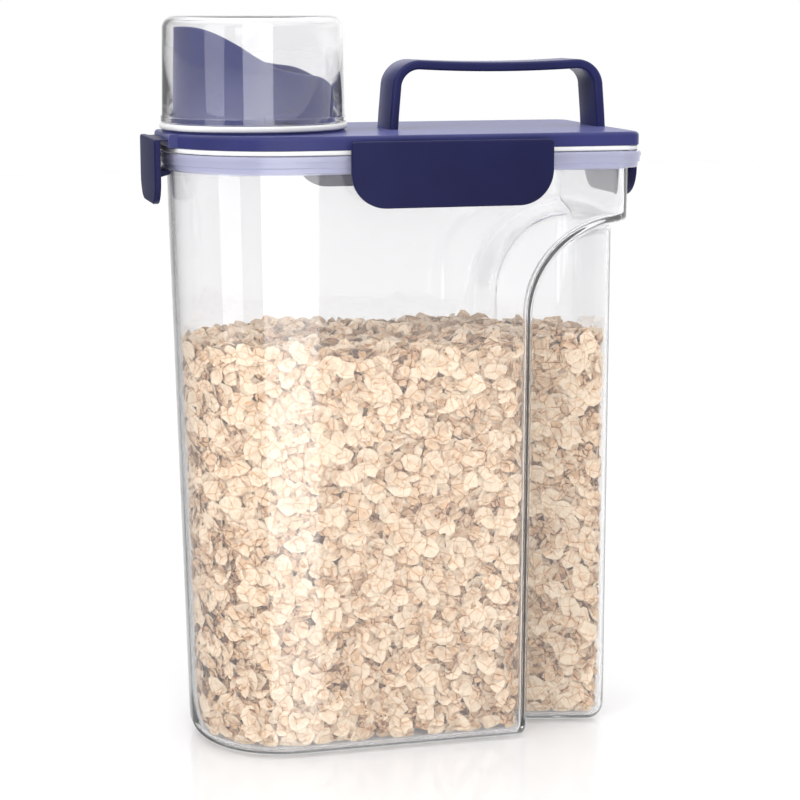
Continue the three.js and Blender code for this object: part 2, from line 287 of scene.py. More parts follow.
def settle(piece: bpy.types.Object, *used: bpy.types.Object) -> bpy.types.Object:
    """Bakes a piece's modifiers into a plain mesh.

    Args:
        piece: The piece with modifiers.
        used: Objects that the modifiers needed and that are deleted.

    Returns:
        The same piece with its final mesh.
    """
    bpy.context.view_layer.update()
    graph = bpy.context.evaluated_depsgraph_get()
    mesh = bpy.data.meshes.new_from_object(piece.evaluated_get(graph), depsgraph=graph)
    mesh.name = piece.name
    piece.modifiers.clear()
    piece.data = mesh
    for other in used:
        bpy.data.objects.remove(other)
    return piece


def bevelled(piece: bpy.types.Object, width: float, segments: int = 3,
             angle: float = 40.0) -> bpy.types.Object:
    """Rounds a piece's sharp edges by a width in millimetres.

    Args:
        piece: The piece to round.
        width: Width of the round in millimetres.
        segments: Steps across the round.
        angle: Only edges above this many degrees are rounded.

    Returns:
        The same piece with its final mesh.
    """
    bevel = piece.modifiers.new("round", "BEVEL")
    bevel.width = width * MM
    bevel.segments = segments
    bevel.limit_method = "ANGLE"
    bevel.angle_limit = math.radians(angle)
    settle(piece)
    smooth(piece.data, 35.0)
    return piece


def finished(piece: bpy.types.Object, material: bpy.types.Material, body: str, slot: str = "",
             *nodes: str) -> None:
    """Dresses a piece and ties it to its body and CAD nodes.

    Args:
        piece: The finished piece.
        material: Its material.
        body: Name of the body that it rides on.
        slot: The record's material slot, or nothing where the record has none. Not used.
        nodes: CAD nodes that it stands for.
    """
    piece.data.materials.clear()
    piece.data.materials.append(material)
    if nodes:
        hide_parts(*nodes)
    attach(piece, body)
    LOG.info("%s: %d faces, rides on %s", piece.name, len(piece.data.polygons), body)


# ---------- finishes ----------


class Shader:
    """A small helper that builds a material's node tree."""

    def __init__(self, name: str) -> None:
        """Starts an empty tree with an output, under a name."""
        self.material = bpy.data.materials.new(name)
        self.material.use_nodes = True
        self.tree = self.material.node_tree
        self.tree.nodes.clear()
        self.output = self.add("ShaderNodeOutputMaterial")

    def add(self, kind: str, **inputs: object) -> bpy.types.Node:
        """Adds a node and sets inputs by name, with spaces written as underscores."""
        node = self.tree.nodes.new(kind)
        for key, value in inputs.items():
            node.inputs[key.replace("_", " ")].default_value = value
        return node

    def link(self, source: bpy.types.NodeSocket, target: bpy.types.NodeSocket) -> None:
        """Joins an output to an input."""
        self.tree.links.new(source, target)

    def place(self) -> bpy.types.NodeSocket:
        """Object coordinates, in metres."""
        return self.add("ShaderNodeTexCoord").outputs["Object"]

    def noise(self, scale: float, detail: float = 2.0) -> bpy.types.NodeSocket:
        """Noise on Object coordinates, with its scale in cycles to the metre."""
        noise = self.add("ShaderNodeTexNoise", Scale=scale, Detail=detail)
        self.link(self.place(), noise.inputs["Vector"])
        return noise.outputs["Fac"]

    def attribute(self, name: str) -> bpy.types.NodeSocket:
        """The value that a mesh stores under a name."""
        node = self.add("ShaderNodeAttribute")
        node.attribute_name = name
        return node.outputs["Fac"]

    def weighted(self, value: bpy.types.NodeSocket, weight: float,
                 rest: bpy.types.NodeSocket) -> bpy.types.NodeSocket:
        """A value times a weight, added to the rest."""
        node = self.add("ShaderNodeMath")
        node.operation = "MULTIPLY_ADD"
        self.link(value, node.inputs[0])
        node.inputs[1].default_value = weight
        self.link(rest, node.inputs[2])
        return node.outputs["Value"]

    def colour(self, surface: bpy.types.Node, source: bpy.types.NodeSocket, stops: list) -> None:
        """Colours a surface by (place, colour) stops on a source."""
        ramp = self.add("ShaderNodeValToRGB")
        elements = ramp.color_ramp.elements
        for i, (place, colour) in enumerate(stops):
            element = elements[i] if i < 2 else elements.new(place)
            element.position = place
            element.color = (*colour, 1.0)
        self.link(source, ramp.inputs["Fac"])
        self.link(ramp.outputs["Color"], surface.inputs["Base Color"])

    def roughen(self, surface: bpy.types.Node, height: bpy.types.NodeSocket, strength: float,
                depth: float) -> None:
        """Gives a surface a bump from a height, with its depth in metres."""
        bump = self.add("ShaderNodeBump", Strength=strength, Distance=depth)
        self.link(height, bump.inputs["Height"])
        self.link(bump.outputs["Normal"], surface.inputs["Normal"])

    def close(self, surface: bpy.types.Node) -> bpy.types.Material:
        """Joins a surface to the output and returns the material."""
        self.link(surface.outputs[0], self.output.inputs["Surface"])
        return self.material


@dataclass(frozen=True)
class MouldedPlastic:
    """Opaque injection-moulded plastic with a fine grain and faint colour drift."""

    name: str
    colour: tuple[float, float, float]
    roughness: float
    sheen: float
    specular: float = 0.22
    sheen_tint: tuple[float, float, float] = (0.42, 0.44, 0.95)
    drift: float = 0.18
    grain_scale: float = 1900.0
    grain_depth: float = 0.00003
    flow_scale: float = 26.0

    def make(self) -> bpy.types.Material:
        """Returns the finished material."""
        shader = Shader(self.name)
        surface = shader.add(
            "ShaderNodeBsdfPrincipled", Roughness=self.roughness, IOR=1.46, Specular_IOR_Level=self.specular,
            Sheen_Weight=self.sheen, Sheen_Roughness=0.3, Sheen_Tint=(*self.sheen_tint, 1.0),
        )
        dark = tuple(c * (1 - self.drift) for c in self.colour)
        light = tuple(c * (1 + self.drift) for c in self.colour)
        shader.colour(surface, shader.noise(self.flow_scale, 3.0), [(0.3, dark), (0.7, light)])
        shader.roughen(surface, shader.noise(self.grain_scale), 0.35, self.grain_depth)
        return shader.close(surface)


@dataclass(frozen=True)
class ClearPlastic:
    """Clear moulded plastic that lets the lights through to what it holds."""

    name: str
    tint: tuple[float, float, float] = (0.98, 0.98, 0.985)
    clearness: float = 0.96
    roughness: float = 0.02
    ior: float = 1.4
    coat_roughness: float = 0.03
    ripple_scale: float = 14.0
    ripple_depth: float = 0.0006

    def make(self) -> bpy.types.Material:
        """Returns the finished material."""
        shader = Shader(self.name)
        tint = (*self.tint, 1.0)
        glass = shader.add(
            "ShaderNodeBsdfPrincipled", Base_Color=tint, Roughness=self.roughness, IOR=self.ior,
            Transmission_Weight=self.clearness, Coat_Weight=1.0, Coat_Roughness=self.coat_roughness,
        )
        shader.roughen(glass, shader.noise(self.ripple_scale, 1.0), 0.25, self.ripple_depth)
        clear = shader.add("ShaderNodeBsdfTransparent", Color=tint)
        path = shader.add("ShaderNodeLightPath")
        mix = shader.add("ShaderNodeMixShader")
        shader.link(path.outputs["Is Shadow Ray"], mix.inputs["Fac"])
        shader.link(glass.outputs["BSDF"], mix.inputs[1])
        shader.link(clear.outputs["BSDF"], mix.inputs[2])
        return shader.close(mix)


@dataclass(frozen=True)
class Silicone:
    """Matt white silicone with a faint powdery bloom."""

    name: str
    colour: tuple[float, float, float] = (0.95, 0.95, 0.945)
    roughness: float = 0.5
    bloom: float = 0.96
    bloom_scale: float = 160.0
    powder_scale: float = 2600.0
    powder_depth: float = 0.00002

    def make(self) -> bpy.types.Material:
        """Returns the finished material."""
        shader = Shader(self.name)
        surface = shader.add("ShaderNodeBsdfPrincipled", Roughness=self.roughness, IOR=1.41)
        shade = tuple(c * self.bloom for c in self.colour)
        shader.colour(surface, shader.noise(self.bloom_scale, 3.0), [(0.35, shade), (0.65, self.colour)])
        shader.roughen(surface, shader.noise(self.powder_scale, 1.0), 0.3, self.powder_depth)
        return shader.close(surface)


@dataclass(frozen=True)
class Oats:
    """Rolled oats: each flake has its own tone, with bran specks, thin creases and a floury surface."""

    name: str
    pale: tuple[float, float, float] = (0.94, 0.77, 0.57)
    middle: tuple[float, float, float] = (0.74, 0.47, 0.26)
    deep: tuple[float, float, float] = (0.20, 0.08, 0.025)
    roughness: float = 0.6
    fleck_scale: float = 520.0
    fleck_depth: float = 0.0009
    specks: float = 0.62
    rim_light: float = 0.22
    crease_scale: float = 190.0
    crease_width: float = 0.07
    crease_depth: float = 0.42

    def make(self) -> bpy.types.Material:
        """Returns the finished material."""
        shader = Shader(self.name)
        surface = shader.add("ShaderNodeBsdfPrincipled", Roughness=self.roughness, IOR=1.35)
        fleck = shader.noise(self.fleck_scale, 4.0)
        tone = shader.weighted(shader.attribute("edge"), self.rim_light, shader.attribute("tone"))
        tone = shader.weighted(fleck, self.specks, tone)
        cells = shader.add("ShaderNodeTexVoronoi", Scale=self.crease_scale)
        cells.feature = "DISTANCE_TO_EDGE"
        shader.link(shader.place(), cells.inputs["Vector"])
        crease = shader.add(
            "ShaderNodeMapRange", From_Max=self.crease_width, To_Min=-self.crease_depth, To_Max=0.0)
        shader.link(cells.outputs["Distance"], crease.inputs["Value"])
        tone = shader.weighted(crease.outputs["Result"], 1.0, tone)
        shader.colour(surface, tone, [(0.2, self.deep), (0.58, self.middle), (1.0, self.pale)])
        shader.roughen(surface, fleck, 0.9, self.fleck_depth)
        return shader.close(surface)


@dataclass(frozen=True)
class StudioFloor:
    """Pale glossy board that the dispenser stands on."""

    name: str
    colour: tuple[float, float, float] = (0.93, 0.93, 0.935)
    roughness: float = 0.1

    def make(self) -> bpy.types.Material:
        """Returns the finished material."""
        shader = Shader(self.name)
        surface = shader.add(
            "ShaderNodeBsdfPrincipled", Base_Color=(*self.colour, 1.0), Roughness=self.roughness, IOR=1.45)
        return shader.close(surface)


class Finishes:
    """Every material of the dispenser, made once."""

    def __init__(self) -> None:
        """Builds the materials."""
        # The lid, latches, spout and handle are one navy plastic. Their colours differ as painted light and
        # shade: the lid is painted lighter, the latches darkest, and the spout and handle darker than the
        # lid.
        self.navy_lid = MouldedPlastic("navy_lid_plastic", (0.042, 0.046, 0.165), 0.24, 0.6).make()
        self.navy_latch = MouldedPlastic(
            "navy_latch_plastic", (0.014, 0.015, 0.068), 0.42, 0.06, 0.16).make()
        self.navy_spout = MouldedPlastic("navy_spout_plastic", (0.018, 0.022, 0.125), 0.32, 0.3).make()
        self.navy_handle = MouldedPlastic("navy_handle_plastic", (0.026, 0.029, 0.120), 0.26, 0.3).make()
        self.clear_body = ClearPlastic("clear_body_plastic").make()
        self.clear_cap = ClearPlastic("clear_cap_plastic", clearness=0.975, ripple_depth=0.0003).make()
        self.clear_rim = ClearPlastic("frosted_rim_plastic", (0.60, 0.61, 0.80), 0.35, 0.3).make()
        self.silicone = Silicone("white_silicone").make()
        self.oats = Oats("rolled_oats").make()
        self.floor = StudioFloor("studio_floor").make()


# ---------- geometry nodes ----------


class NodeGroup:
    """A small helper that builds a Geometry Nodes tree with named inputs."""

    def __init__(self, name: str) -> None:
        """Starts a tree that takes and gives geometry."""
        self.tree = bpy.data.node_groups.new(name, "GeometryNodeTree")
        face = self.tree.interface
        face.new_socket("Geometry", in_out="INPUT", socket_type="NodeSocketGeometry")
        face.new_socket("Geometry", in_out="OUTPUT", socket_type="NodeSocketGeometry")
        self.start = self.tree.nodes.new("NodeGroupInput")
        self.end = self.tree.nodes.new("NodeGroupOutput")

    def value(self, name: str, kind: str = "NodeSocketFloat") -> bpy.types.NodeSocket:
        """Adds a named input and returns its socket inside the tree."""
        self.tree.interface.new_socket(name, in_out="INPUT", socket_type=kind)
        return self.start.outputs[name]

    def add(self, kind: str, **settings: object) -> bpy.types.Node:
        """Adds a node and sets its properties."""
        node = self.tree.nodes.new(kind)
        for key, value in settings.items():
            setattr(node, key, value)
        return node

    def link(self, source: bpy.types.NodeSocket, target: bpy.types.NodeSocket) -> None:
        """Joins an output to an input."""
        self.tree.links.new(source, target)

    def random(self, kind: str, low: object, high: object) -> bpy.types.NodeSocket:
        """A random value for every instance, between two constants or sockets.

        Args:
            kind: "FLOAT" or "FLOAT_VECTOR".
            low: Lowest value.
            high: Highest value.

        Returns:
            The socket with the value.
        """
        node = self.add("FunctionNodeRandomValue", data_type=kind)
        first, result = {"FLOAT": (2, 1), "FLOAT_VECTOR": (0, 0)}[kind]
        for index, value in ((first, low), (first + 1, high)):
            if isinstance(value, bpy.types.NodeSocket):
                self.link(value, node.inputs[index])
            else:
                node.inputs[index].default_value = value
        return node.outputs[result]

    def finish(self, geometry: bpy.types.NodeSocket, material: bpy.types.Material) -> None:
        """Ends the tree in Realize Instances and Set Material."""
        real = self.add("GeometryNodeRealizeInstances")
        dressed = self.add("GeometryNodeSetMaterial")
        dressed.inputs["Material"].default_value = material
        self.link(geometry, real.inputs["Geometry"])
        self.link(real.outputs["Geometry"], dressed.inputs["Geometry"])
        self.link(dressed.outputs["Geometry"], self.end.inputs[0])

    def apply(self, piece: bpy.types.Object, values: dict, *used: bpy.types.Object) -> bpy.types.Object:
        """Runs the tree on a piece and keeps the result as a plain mesh.

        Args:
            piece: Object whose geometry enters the tree.
            values: Value of every named input.
            used: Helper objects that are deleted afterwards.

        Returns:
            A new mesh object with the piece's name.
        """
        modifier = piece.modifiers.new(self.tree.name, "NODES")
        modifier.node_group = self.tree
        for item in self.tree.interface.items_tree:
            if item.item_type == "SOCKET" and item.in_out == "INPUT" and item.name in values:
                modifier[item.identifier] = values[item.name]
        bpy.context.view_layer.update()
        graph = bpy.context.evaluated_depsgraph_get()
        mesh = bpy.data.meshes.new_from_object(piece.evaluated_get(graph), depsgraph=graph)
        name = piece.name
        piece.modifiers.clear()
        bpy.data.objects.remove(piece)
        for other in used:
            bpy.data.objects.remove(other)
        mesh.name = name
        result = bpy.data.objects.new(name, mesh)
        bpy.context.scene.collection.objects.link(result)
        return result


def path_curve(name: str, points: np.ndarray, closed: bool) -> bpy.types.Object:
    """A poly curve through points.

    Args:
        name: Name of the object.
        points: Points in millimetres.
        closed: Whether the curve closes on itself.

    Returns:
        The curve object.
    """
    curve = bpy.data.curves.new(name, "CURVE")
    curve.dimensions = "3D"
    spline = curve.splines.new("POLY")
    spline.points.add(len(points) - 1)
    for point, place in zip(spline.points, np.asarray(points, float) * MM):
        point.co = (*place, 1.0)
    spline.use_cyclic_u = closed
    piece = bpy.data.objects.new(name, curve)
    bpy.context.scene.collection.objects.link(piece)
    return piece


def swept(name: str, path: np.ndarray, closed: bool, section: np.ndarray,
          material: bpy.types.Material) -> bpy.types.Object:
    """A solid whose section follows a path.

    Args:
        name: Name of the piece.
        path: Points of the path in millimetres.
        closed: Whether the path closes on itself.
        section: Closed section in millimetres, X to the side of the path and Y up from it.
        material: Material of the piece.

    Returns:
        The plain mesh object.
    """
    rail = path_curve(name, path, closed)
    flat = np.column_stack([section, np.zeros(len(section))])
    profile = path_curve(f"{name}_section", flat, True)
    group = NodeGroup(f"{name}_sweep")
    section_input = group.value("Section", "NodeSocketObject")
    fill_input = group.value("Fill Ends", "NodeSocketBool")
    info = group.add("GeometryNodeObjectInfo")
    group.link(section_input, info.inputs["Object"])
    upright = group.add("GeometryNodeSetCurveNormal")
    upright.mode = "Z_UP" if closed else "MINIMUM_TWIST"
    group.link(group.start.outputs["Geometry"], upright.inputs["Curve"])
    sweep = group.add("GeometryNodeCurveToMesh")
    group.link(upright.outputs["Curve"], sweep.inputs["Curve"])
    group.link(info.outputs["Geometry"], sweep.inputs["Profile Curve"])
    group.link(fill_input, sweep.inputs["Fill Caps"])
    group.finish(sweep.outputs["Mesh"], material)
    result = group.apply(rail, {"Section": profile, "Fill Ends": not closed}, profile)
    tidy_mesh(result)
    return result


# ---------- outline ----------


@dataclass
class Outline:
    """Plan outline of the container's rim: round at the pouring end, squarer at the back."""

    length: float
    width: float
    front_radius: float = 47.0
    back_radius: float = 6.0
    least_corner: float = 5.0
    arc_steps: int = 26
    corner_steps: int = 10
    side_steps: int = 12

    def extents(self, inset: float | tuple[float, float, float]) -> tuple[float, ...]:
        """Front end, back end, half width, front radius and back radius at an inset."""
        front, side, back = (inset,) * 3 if np.isscalar(inset) else inset
        back_radius = max(self.back_radius - side, self.least_corner)
        left, right = -self.length / 2 + front, self.length / 2 - back
        return left, right, self.width / 2 - side, self.front_radius - side, back_radius

    def loop(self, z: float, inset: float | tuple[float, float, float]) -> np.ndarray:
        """Points of the outline.

        Args:
            z: Height in millimetres.
            inset: How far in from the rim, alike all round or as (front, side, back).

        Returns:
            Points in millimetres, anticlockwise from the far end of the front arc.
        """
        left, right, half, front_radius, back_radius = self.extents(inset)
        points = []

        def arc(cx: float, cy: float, radius: float, start: float, steps: int) -> None:
            for angle in np.linspace(start, start + math.pi / 2, steps + 1):
                points.append((cx + radius * math.cos(angle), cy + radius * math.sin(angle)))

        def run(x0: float, x1: float, y: float) -> None:
            for x in np.linspace(x0, x1, self.side_steps + 1)[1:-1]:
                points.append((x, y))

        arc(left + front_radius, half - front_radius, front_radius, math.pi / 2, self.arc_steps)
        arc(left + front_radius, front_radius - half, front_radius, math.pi, self.arc_steps)
        run(left + front_radius, right - back_radius, -half)
        arc(right - back_radius, back_radius - half, back_radius, math.pi * 1.5, self.corner_steps)
        arc(right - back_radius, half - back_radius, back_radius, 0.0, self.corner_steps)
        run(right - back_radius, left + front_radius, half)
        return np.column_stack([np.array(points), np.full(len(points), z)])


@dataclass
class Grip:
    """The two hand recesses that narrow the back of the container."""

    step: float = 52.2
    half_step: float = 23.0
    half_back: float = 31.0
    arch_start: float = 181.0
    top: float = 217.0
    corner: float = 8.0
    least_corner: float = 2.0
    blend: float = 4.2


@dataclass
class Container:
    """The clear container: a rounded foot, straight walls, two hand recesses and a ridged rim."""

    outline: Outline
    rim_top: float
    grip: Grip
    wall: float = 1.8
    floor: float = 2.4
    foot_round: float = 7.0
    rim_height: float = 6.7
    top_inset: tuple[float, float, float] = (3.5, 4.5, 4.3)
    foot_inset: tuple[float, float, float] = (8.9, 7.5, 3.8)
    fine_from: float = 43.0
    fine_step: float = 0.7

    @property
    def rim_bottom(self) -> float:
        """Height of the rim's underside."""
        return self.rim_top - self.rim_height

    def wall_inset(self, z: float, extra: float) -> np.ndarray:
        """Front, side and back insets of the wall at a height, with an extra all round."""
        t = np.clip(z / self.rim_bottom, 0, 1)
        return (1 - t) * np.array(self.foot_inset) + t * np.array(self.top_inset) + extra

    def section(self, z: float, skin: float = 0.0, pull: float = 0.0,
                insets: np.ndarray | None = None) -> np.ndarray:
        """One level of the wall, with the hand recesses pressed in.

        Args:
            z: Height in millimetres.
            skin: Distance in from the outer surface, such as the wall's thickness.
            pull: Further inset where the foot is rounded.
            insets: Insets that stand for the wall's own, as in the rim.

        Returns:
            Points in millimetres, from the front tip along the near side and back along the far side.
        """
        insets = self.wall_inset(z, skin + pull) if insets is None else insets
        left, right, half, arc_radius, corner = self.outline.extents(insets)
        grip = self.grip
        slope = (grip.half_back - grip.half_step) / (right - grip.step)
        inner_corner = max(grip.corner - skin - pull, grip.least_corner)
        lean = math.sqrt(1 + slope * slope)
        arc_x = left + arc_radius

        def pressed_y(x: np.ndarray) -> np.ndarray:
            return grip.half_step - skin - pull + (x - grip.step) * slope

        angles = np.linspace(math.pi, 1.5 * math.pi, self.outline.arc_steps + 1)
        nose = np.column_stack([
            arc_x + arc_radius * np.cos(angles), -(half - arc_radius) + arc_radius * np.sin(angles),
        ])
        nose = np.vstack([[left, 0.0], nose])
        coarse = np.linspace(arc_x, self.fine_from, 12)[1:-1]
        coarse = np.column_stack([coarse, np.full(len(coarse), -half)])
        fine_count = int(round((self.outline.length / 2 - 8 - self.fine_from) / self.fine_step))
        u = np.linspace(0, 1, fine_count)
        main_x = self.fine_from + u * (right - corner - self.fine_from)
        press_end = right - inner_corner
        press_x = self.fine_from + u * (press_end - self.fine_from)
        main = [np.column_stack([main_x, np.full(fine_count, -half)])]
        press = [np.column_stack([press_x, -pressed_y(press_x)])]
        turn = np.linspace(-math.pi / 2, 0, 13)[1:]
        main.append(np.column_stack([
            right - corner + corner * np.cos(turn), -(half - corner) + corner * np.sin(turn),
        ]))
        centre_y = pressed_y(press_end) - inner_corner * lean
        press.append(np.column_stack([
            press_end + inner_corner * np.cos(turn), -centre_y + inner_corner * np.sin(turn),
        ]))
        across = np.linspace(1, 0, 6)[1:]
        main.append(np.column_stack([np.full(5, right), -(half - corner) * across]))
        press.append(np.column_stack([np.full(5, right), -centre_y * across]))
        main, press = np.vstack(main), np.vstack(press)
        depth = smootherstep((self._inside(0.5 * (main[:, 0] + press[:, 0]), z, skin, right) + grip.blend)
                             / (2 * grip.blend))[:, None]
        gripped = main * (1 - depth) + press * depth
        near = np.vstack([nose, coarse, gripped])
        far = near[1:-1][::-1] * [1, -1]
        loop = np.vstack([near, far])
        return np.column_stack([loop, np.full(len(loop), z)])

    def _inside(self, x: np.ndarray, z: float, skin: float, right: float) -> np.ndarray:
        """Distance inside the recess's edge, positive in the recess, with the edge grown by a skin."""
        grip = self.grip
        edge = grip.step - skin
        if z <= grip.arch_start:
            return x - edge
        across = max(right - edge, 1.0)
        rise = grip.top + skin - grip.arch_start
        dx, dz = (right - x), (z - grip.arch_start)
        reach = np.sqrt((dx / across) ** 2 + (dz / rise) ** 2) + 1e-6
        steep = np.sqrt((dx / across ** 2) ** 2 + (dz / rise ** 2) ** 2) + 1e-6
        return (1 - reach) * reach / steep

    def levels(self) -> list:
        """Heights of the wall between foot and rim, close together where the recess arches."""
        straight = np.linspace(self.foot_round, self.grip.arch_start - 6, 14)
        arch = np.arange(self.grip.arch_start - 5, self.grip.top + 6, 0.75)
        above = np.linspace(self.grip.top + 8, self.rim_bottom - 0.8, 4)
        return list(straight) + list(arch) + list(above)

    def foot(self, low: float, radius: float) -> list:
        """Pairs of (height, pull) up the rounded foot."""
        return [(low + pull, drop) for pull, drop in rolled(radius, 9)[:-1]]

    def build(self) -> bpy.types.Object:
        """Returns the container as one closed wall."""
        loops = [self.section(z, 0.0, pull) for z, pull in self.foot(0.0, self.foot_round)]
        loops += [self.section(z) for z in self.levels()]
        wall_top = np.array(self.top_inset)
        bottom = self.rim_bottom
        rim = [
            (wall_top, 0.0), (wall_top * 0.6 + 0.5, 0.0), (np.full(3, 1.7), 0.05), (np.full(3, 1.3), 0.3),
            (np.full(3, 1.2), 0.6), (np.full(3, 1.1), 2.0), (np.full(3, 0.5), 2.4), (np.full(3, 0.35), 2.7),
            (np.full(3, 0.35), 4.2), (np.full(3, 0.1), 4.6), (np.zeros(3), 4.9), (np.zeros(3), 6.0),
            (np.full(3, 0.2), 6.45), (np.full(3, 0.7), 6.7), (wall_top + self.wall - 0.5, 6.7),
            (wall_top + self.wall, 6.2),
        ]
        loops += [self.section(bottom + rise, insets=insets) for insets, rise in rim]
        inner = [z for z in self.levels() if z > self.floor + self.foot_round - self.wall]
        loops += [self.section(z, self.wall) for z in reversed(inner)]
        inside_foot = self.foot(self.floor, self.foot_round - self.wall)
        loops += [self.section(z, self.wall, pull) for z, pull in reversed(inside_foot)]
        return stacked("clear_container", loops, smooth_angle=38.0)


# ---------- lid, gasket and handle ----------


@dataclass
class Lid:
    """The navy lid: rolled edge, raised pad for the spout, end bosses and the plug inside the mouth."""

    outline: Outline
    bottom: float
    top: float
    plug_bottom: float
    pad_top: float
    spout_x: float
    inset: float = 1.0
    edge_round: float = 1.6
    plate: float = 2.4
    plug_inset: float = 7.2
    plug_wall: float = 1.6
    pad_radius: float = 37.4
    hole: float = 29.9
    boss_reach: float = 14.0
    boss_widths: tuple[float, float] = (40.0, 52.0)

    def build(self) -> bpy.types.Object:
        """Returns the lid's moulding."""
        roll = self.edge_round
        rows = [(self.inset, self.bottom + 0.2)]
        rows += [(self.inset + pull, self.top - drop) for pull, drop in rolled(roll, 6)]
        rows.append((self.inset + roll + 1.6, self.top))
        pocket = self.plug_inset + self.plug_wall
        under = [
            (pocket, self.top - self.plate), (pocket, self.plug_bottom + 0.5),
            (pocket - 0.4, self.plug_bottom), (self.plug_inset + 0.5, self.plug_bottom),
            (self.plug_inset, self.plug_bottom + 0.6),
            (self.plug_inset, self.bottom), (self.inset + 0.3, self.bottom),
        ]
        loops = [self.outline.loop(z, inset) for inset, z in under + rows]
        shell = stacked("navy_lid_shell", loops)
        for sign, width in zip((-1, 1), self.boss_widths):
            shell = combine(shell, self._boss(sign, width), "UNION")
        pad = turned("pad", [
            (0, self.top - 1.5), (self.pad_radius, self.top - 1.5), (self.pad_radius, self.pad_top - 0.4),
            (self.pad_radius - 0.4, self.pad_top), (0, self.pad_top),
        ], self.spout_x)
        shell = combine(shell, pad, "UNION")
        hole = turned("hole", [
            (0, self.plug_bottom - 3), (self.hole, self.plug_bottom - 3),
            (self.hole, self.pad_top + 3), (0, self.pad_top + 3),
        ], self.spout_x)
        shell = combine(shell, hole, "DIFFERENCE")
        tidy_mesh(shell, 28.0)
        return shell

    def _boss(self, sign: int, width: float) -> bpy.types.Object:
        """A flat boss at one end that carries a latch."""
        end = self.outline.length / 2 - self.inset
        rows = [(0.0, self.bottom + 0.2), (0.0, self.top - self.edge_round)]
        rows += [(pull, self.top - 0.02 - drop) for pull, drop in rolled(self.edge_round, 5)[1:]]
        loops = []
        for pull, z in rows:
            far, half = end - pull, width / 2 - pull
            near = end - self.boss_reach
            ring = np.array([[near, -half], [far, -half], [far, half], [near, half]]) * [sign, 1]
            loops.append(np.column_stack([ring, np.full(4, z)]))
        return stacked("boss", loops)


@dataclass
class Handle:
    """The carrying handle: a flat strap bent into two legs and a slightly dipped bar."""

    centre_x: float
    span: float
    base: float
    top: float
    width: float = 22.0
    thickness: float = 3.8
    bend: float = 9.5
    lean: float = 1.4
    dip: float = 1.0
    edge: float = 1.1

    def path(self) -> np.ndarray:
        """Centre line of the strap in millimetres."""
        half = self.thickness / 2
        foot = self.span / 2 - half
        head = foot - self.lean
        crown = self.top - half
        bend = self.bend
        points = [
            (-foot, self.base),
            (-foot + self.lean * 0.35, self.base + (crown - bend - self.base) * 0.4),
            (-head, crown - bend),
        ]
        for angle in np.linspace(math.pi, math.pi / 2, 13)[1:]:
            points.append((-head + bend + bend * math.cos(angle), crown - bend + bend * math.sin(angle)))
        straight = head - bend
        for t in np.linspace(-1, 0, 12)[1:]:
            points.append((straight * t, crown - self.dip * (1 - t * t)))
        left = np.array(points)
        right = left[:-1][::-1] * [-1, 1]
        line = np.vstack([left, right])
        return np.column_stack([self.centre_x + line[:, 0], np.zeros(len(line)), line[:, 1]])

    def build(self, material: bpy.types.Material) -> bpy.types.Object:
        """Returns the handle as a sweep of its section along its centre line."""
        section = rounded_rectangle(self.width / 2, self.thickness / 2, self.edge)
        return swept("carrying_handle", self.path(), False, section, material)


# ---------- latches ----------


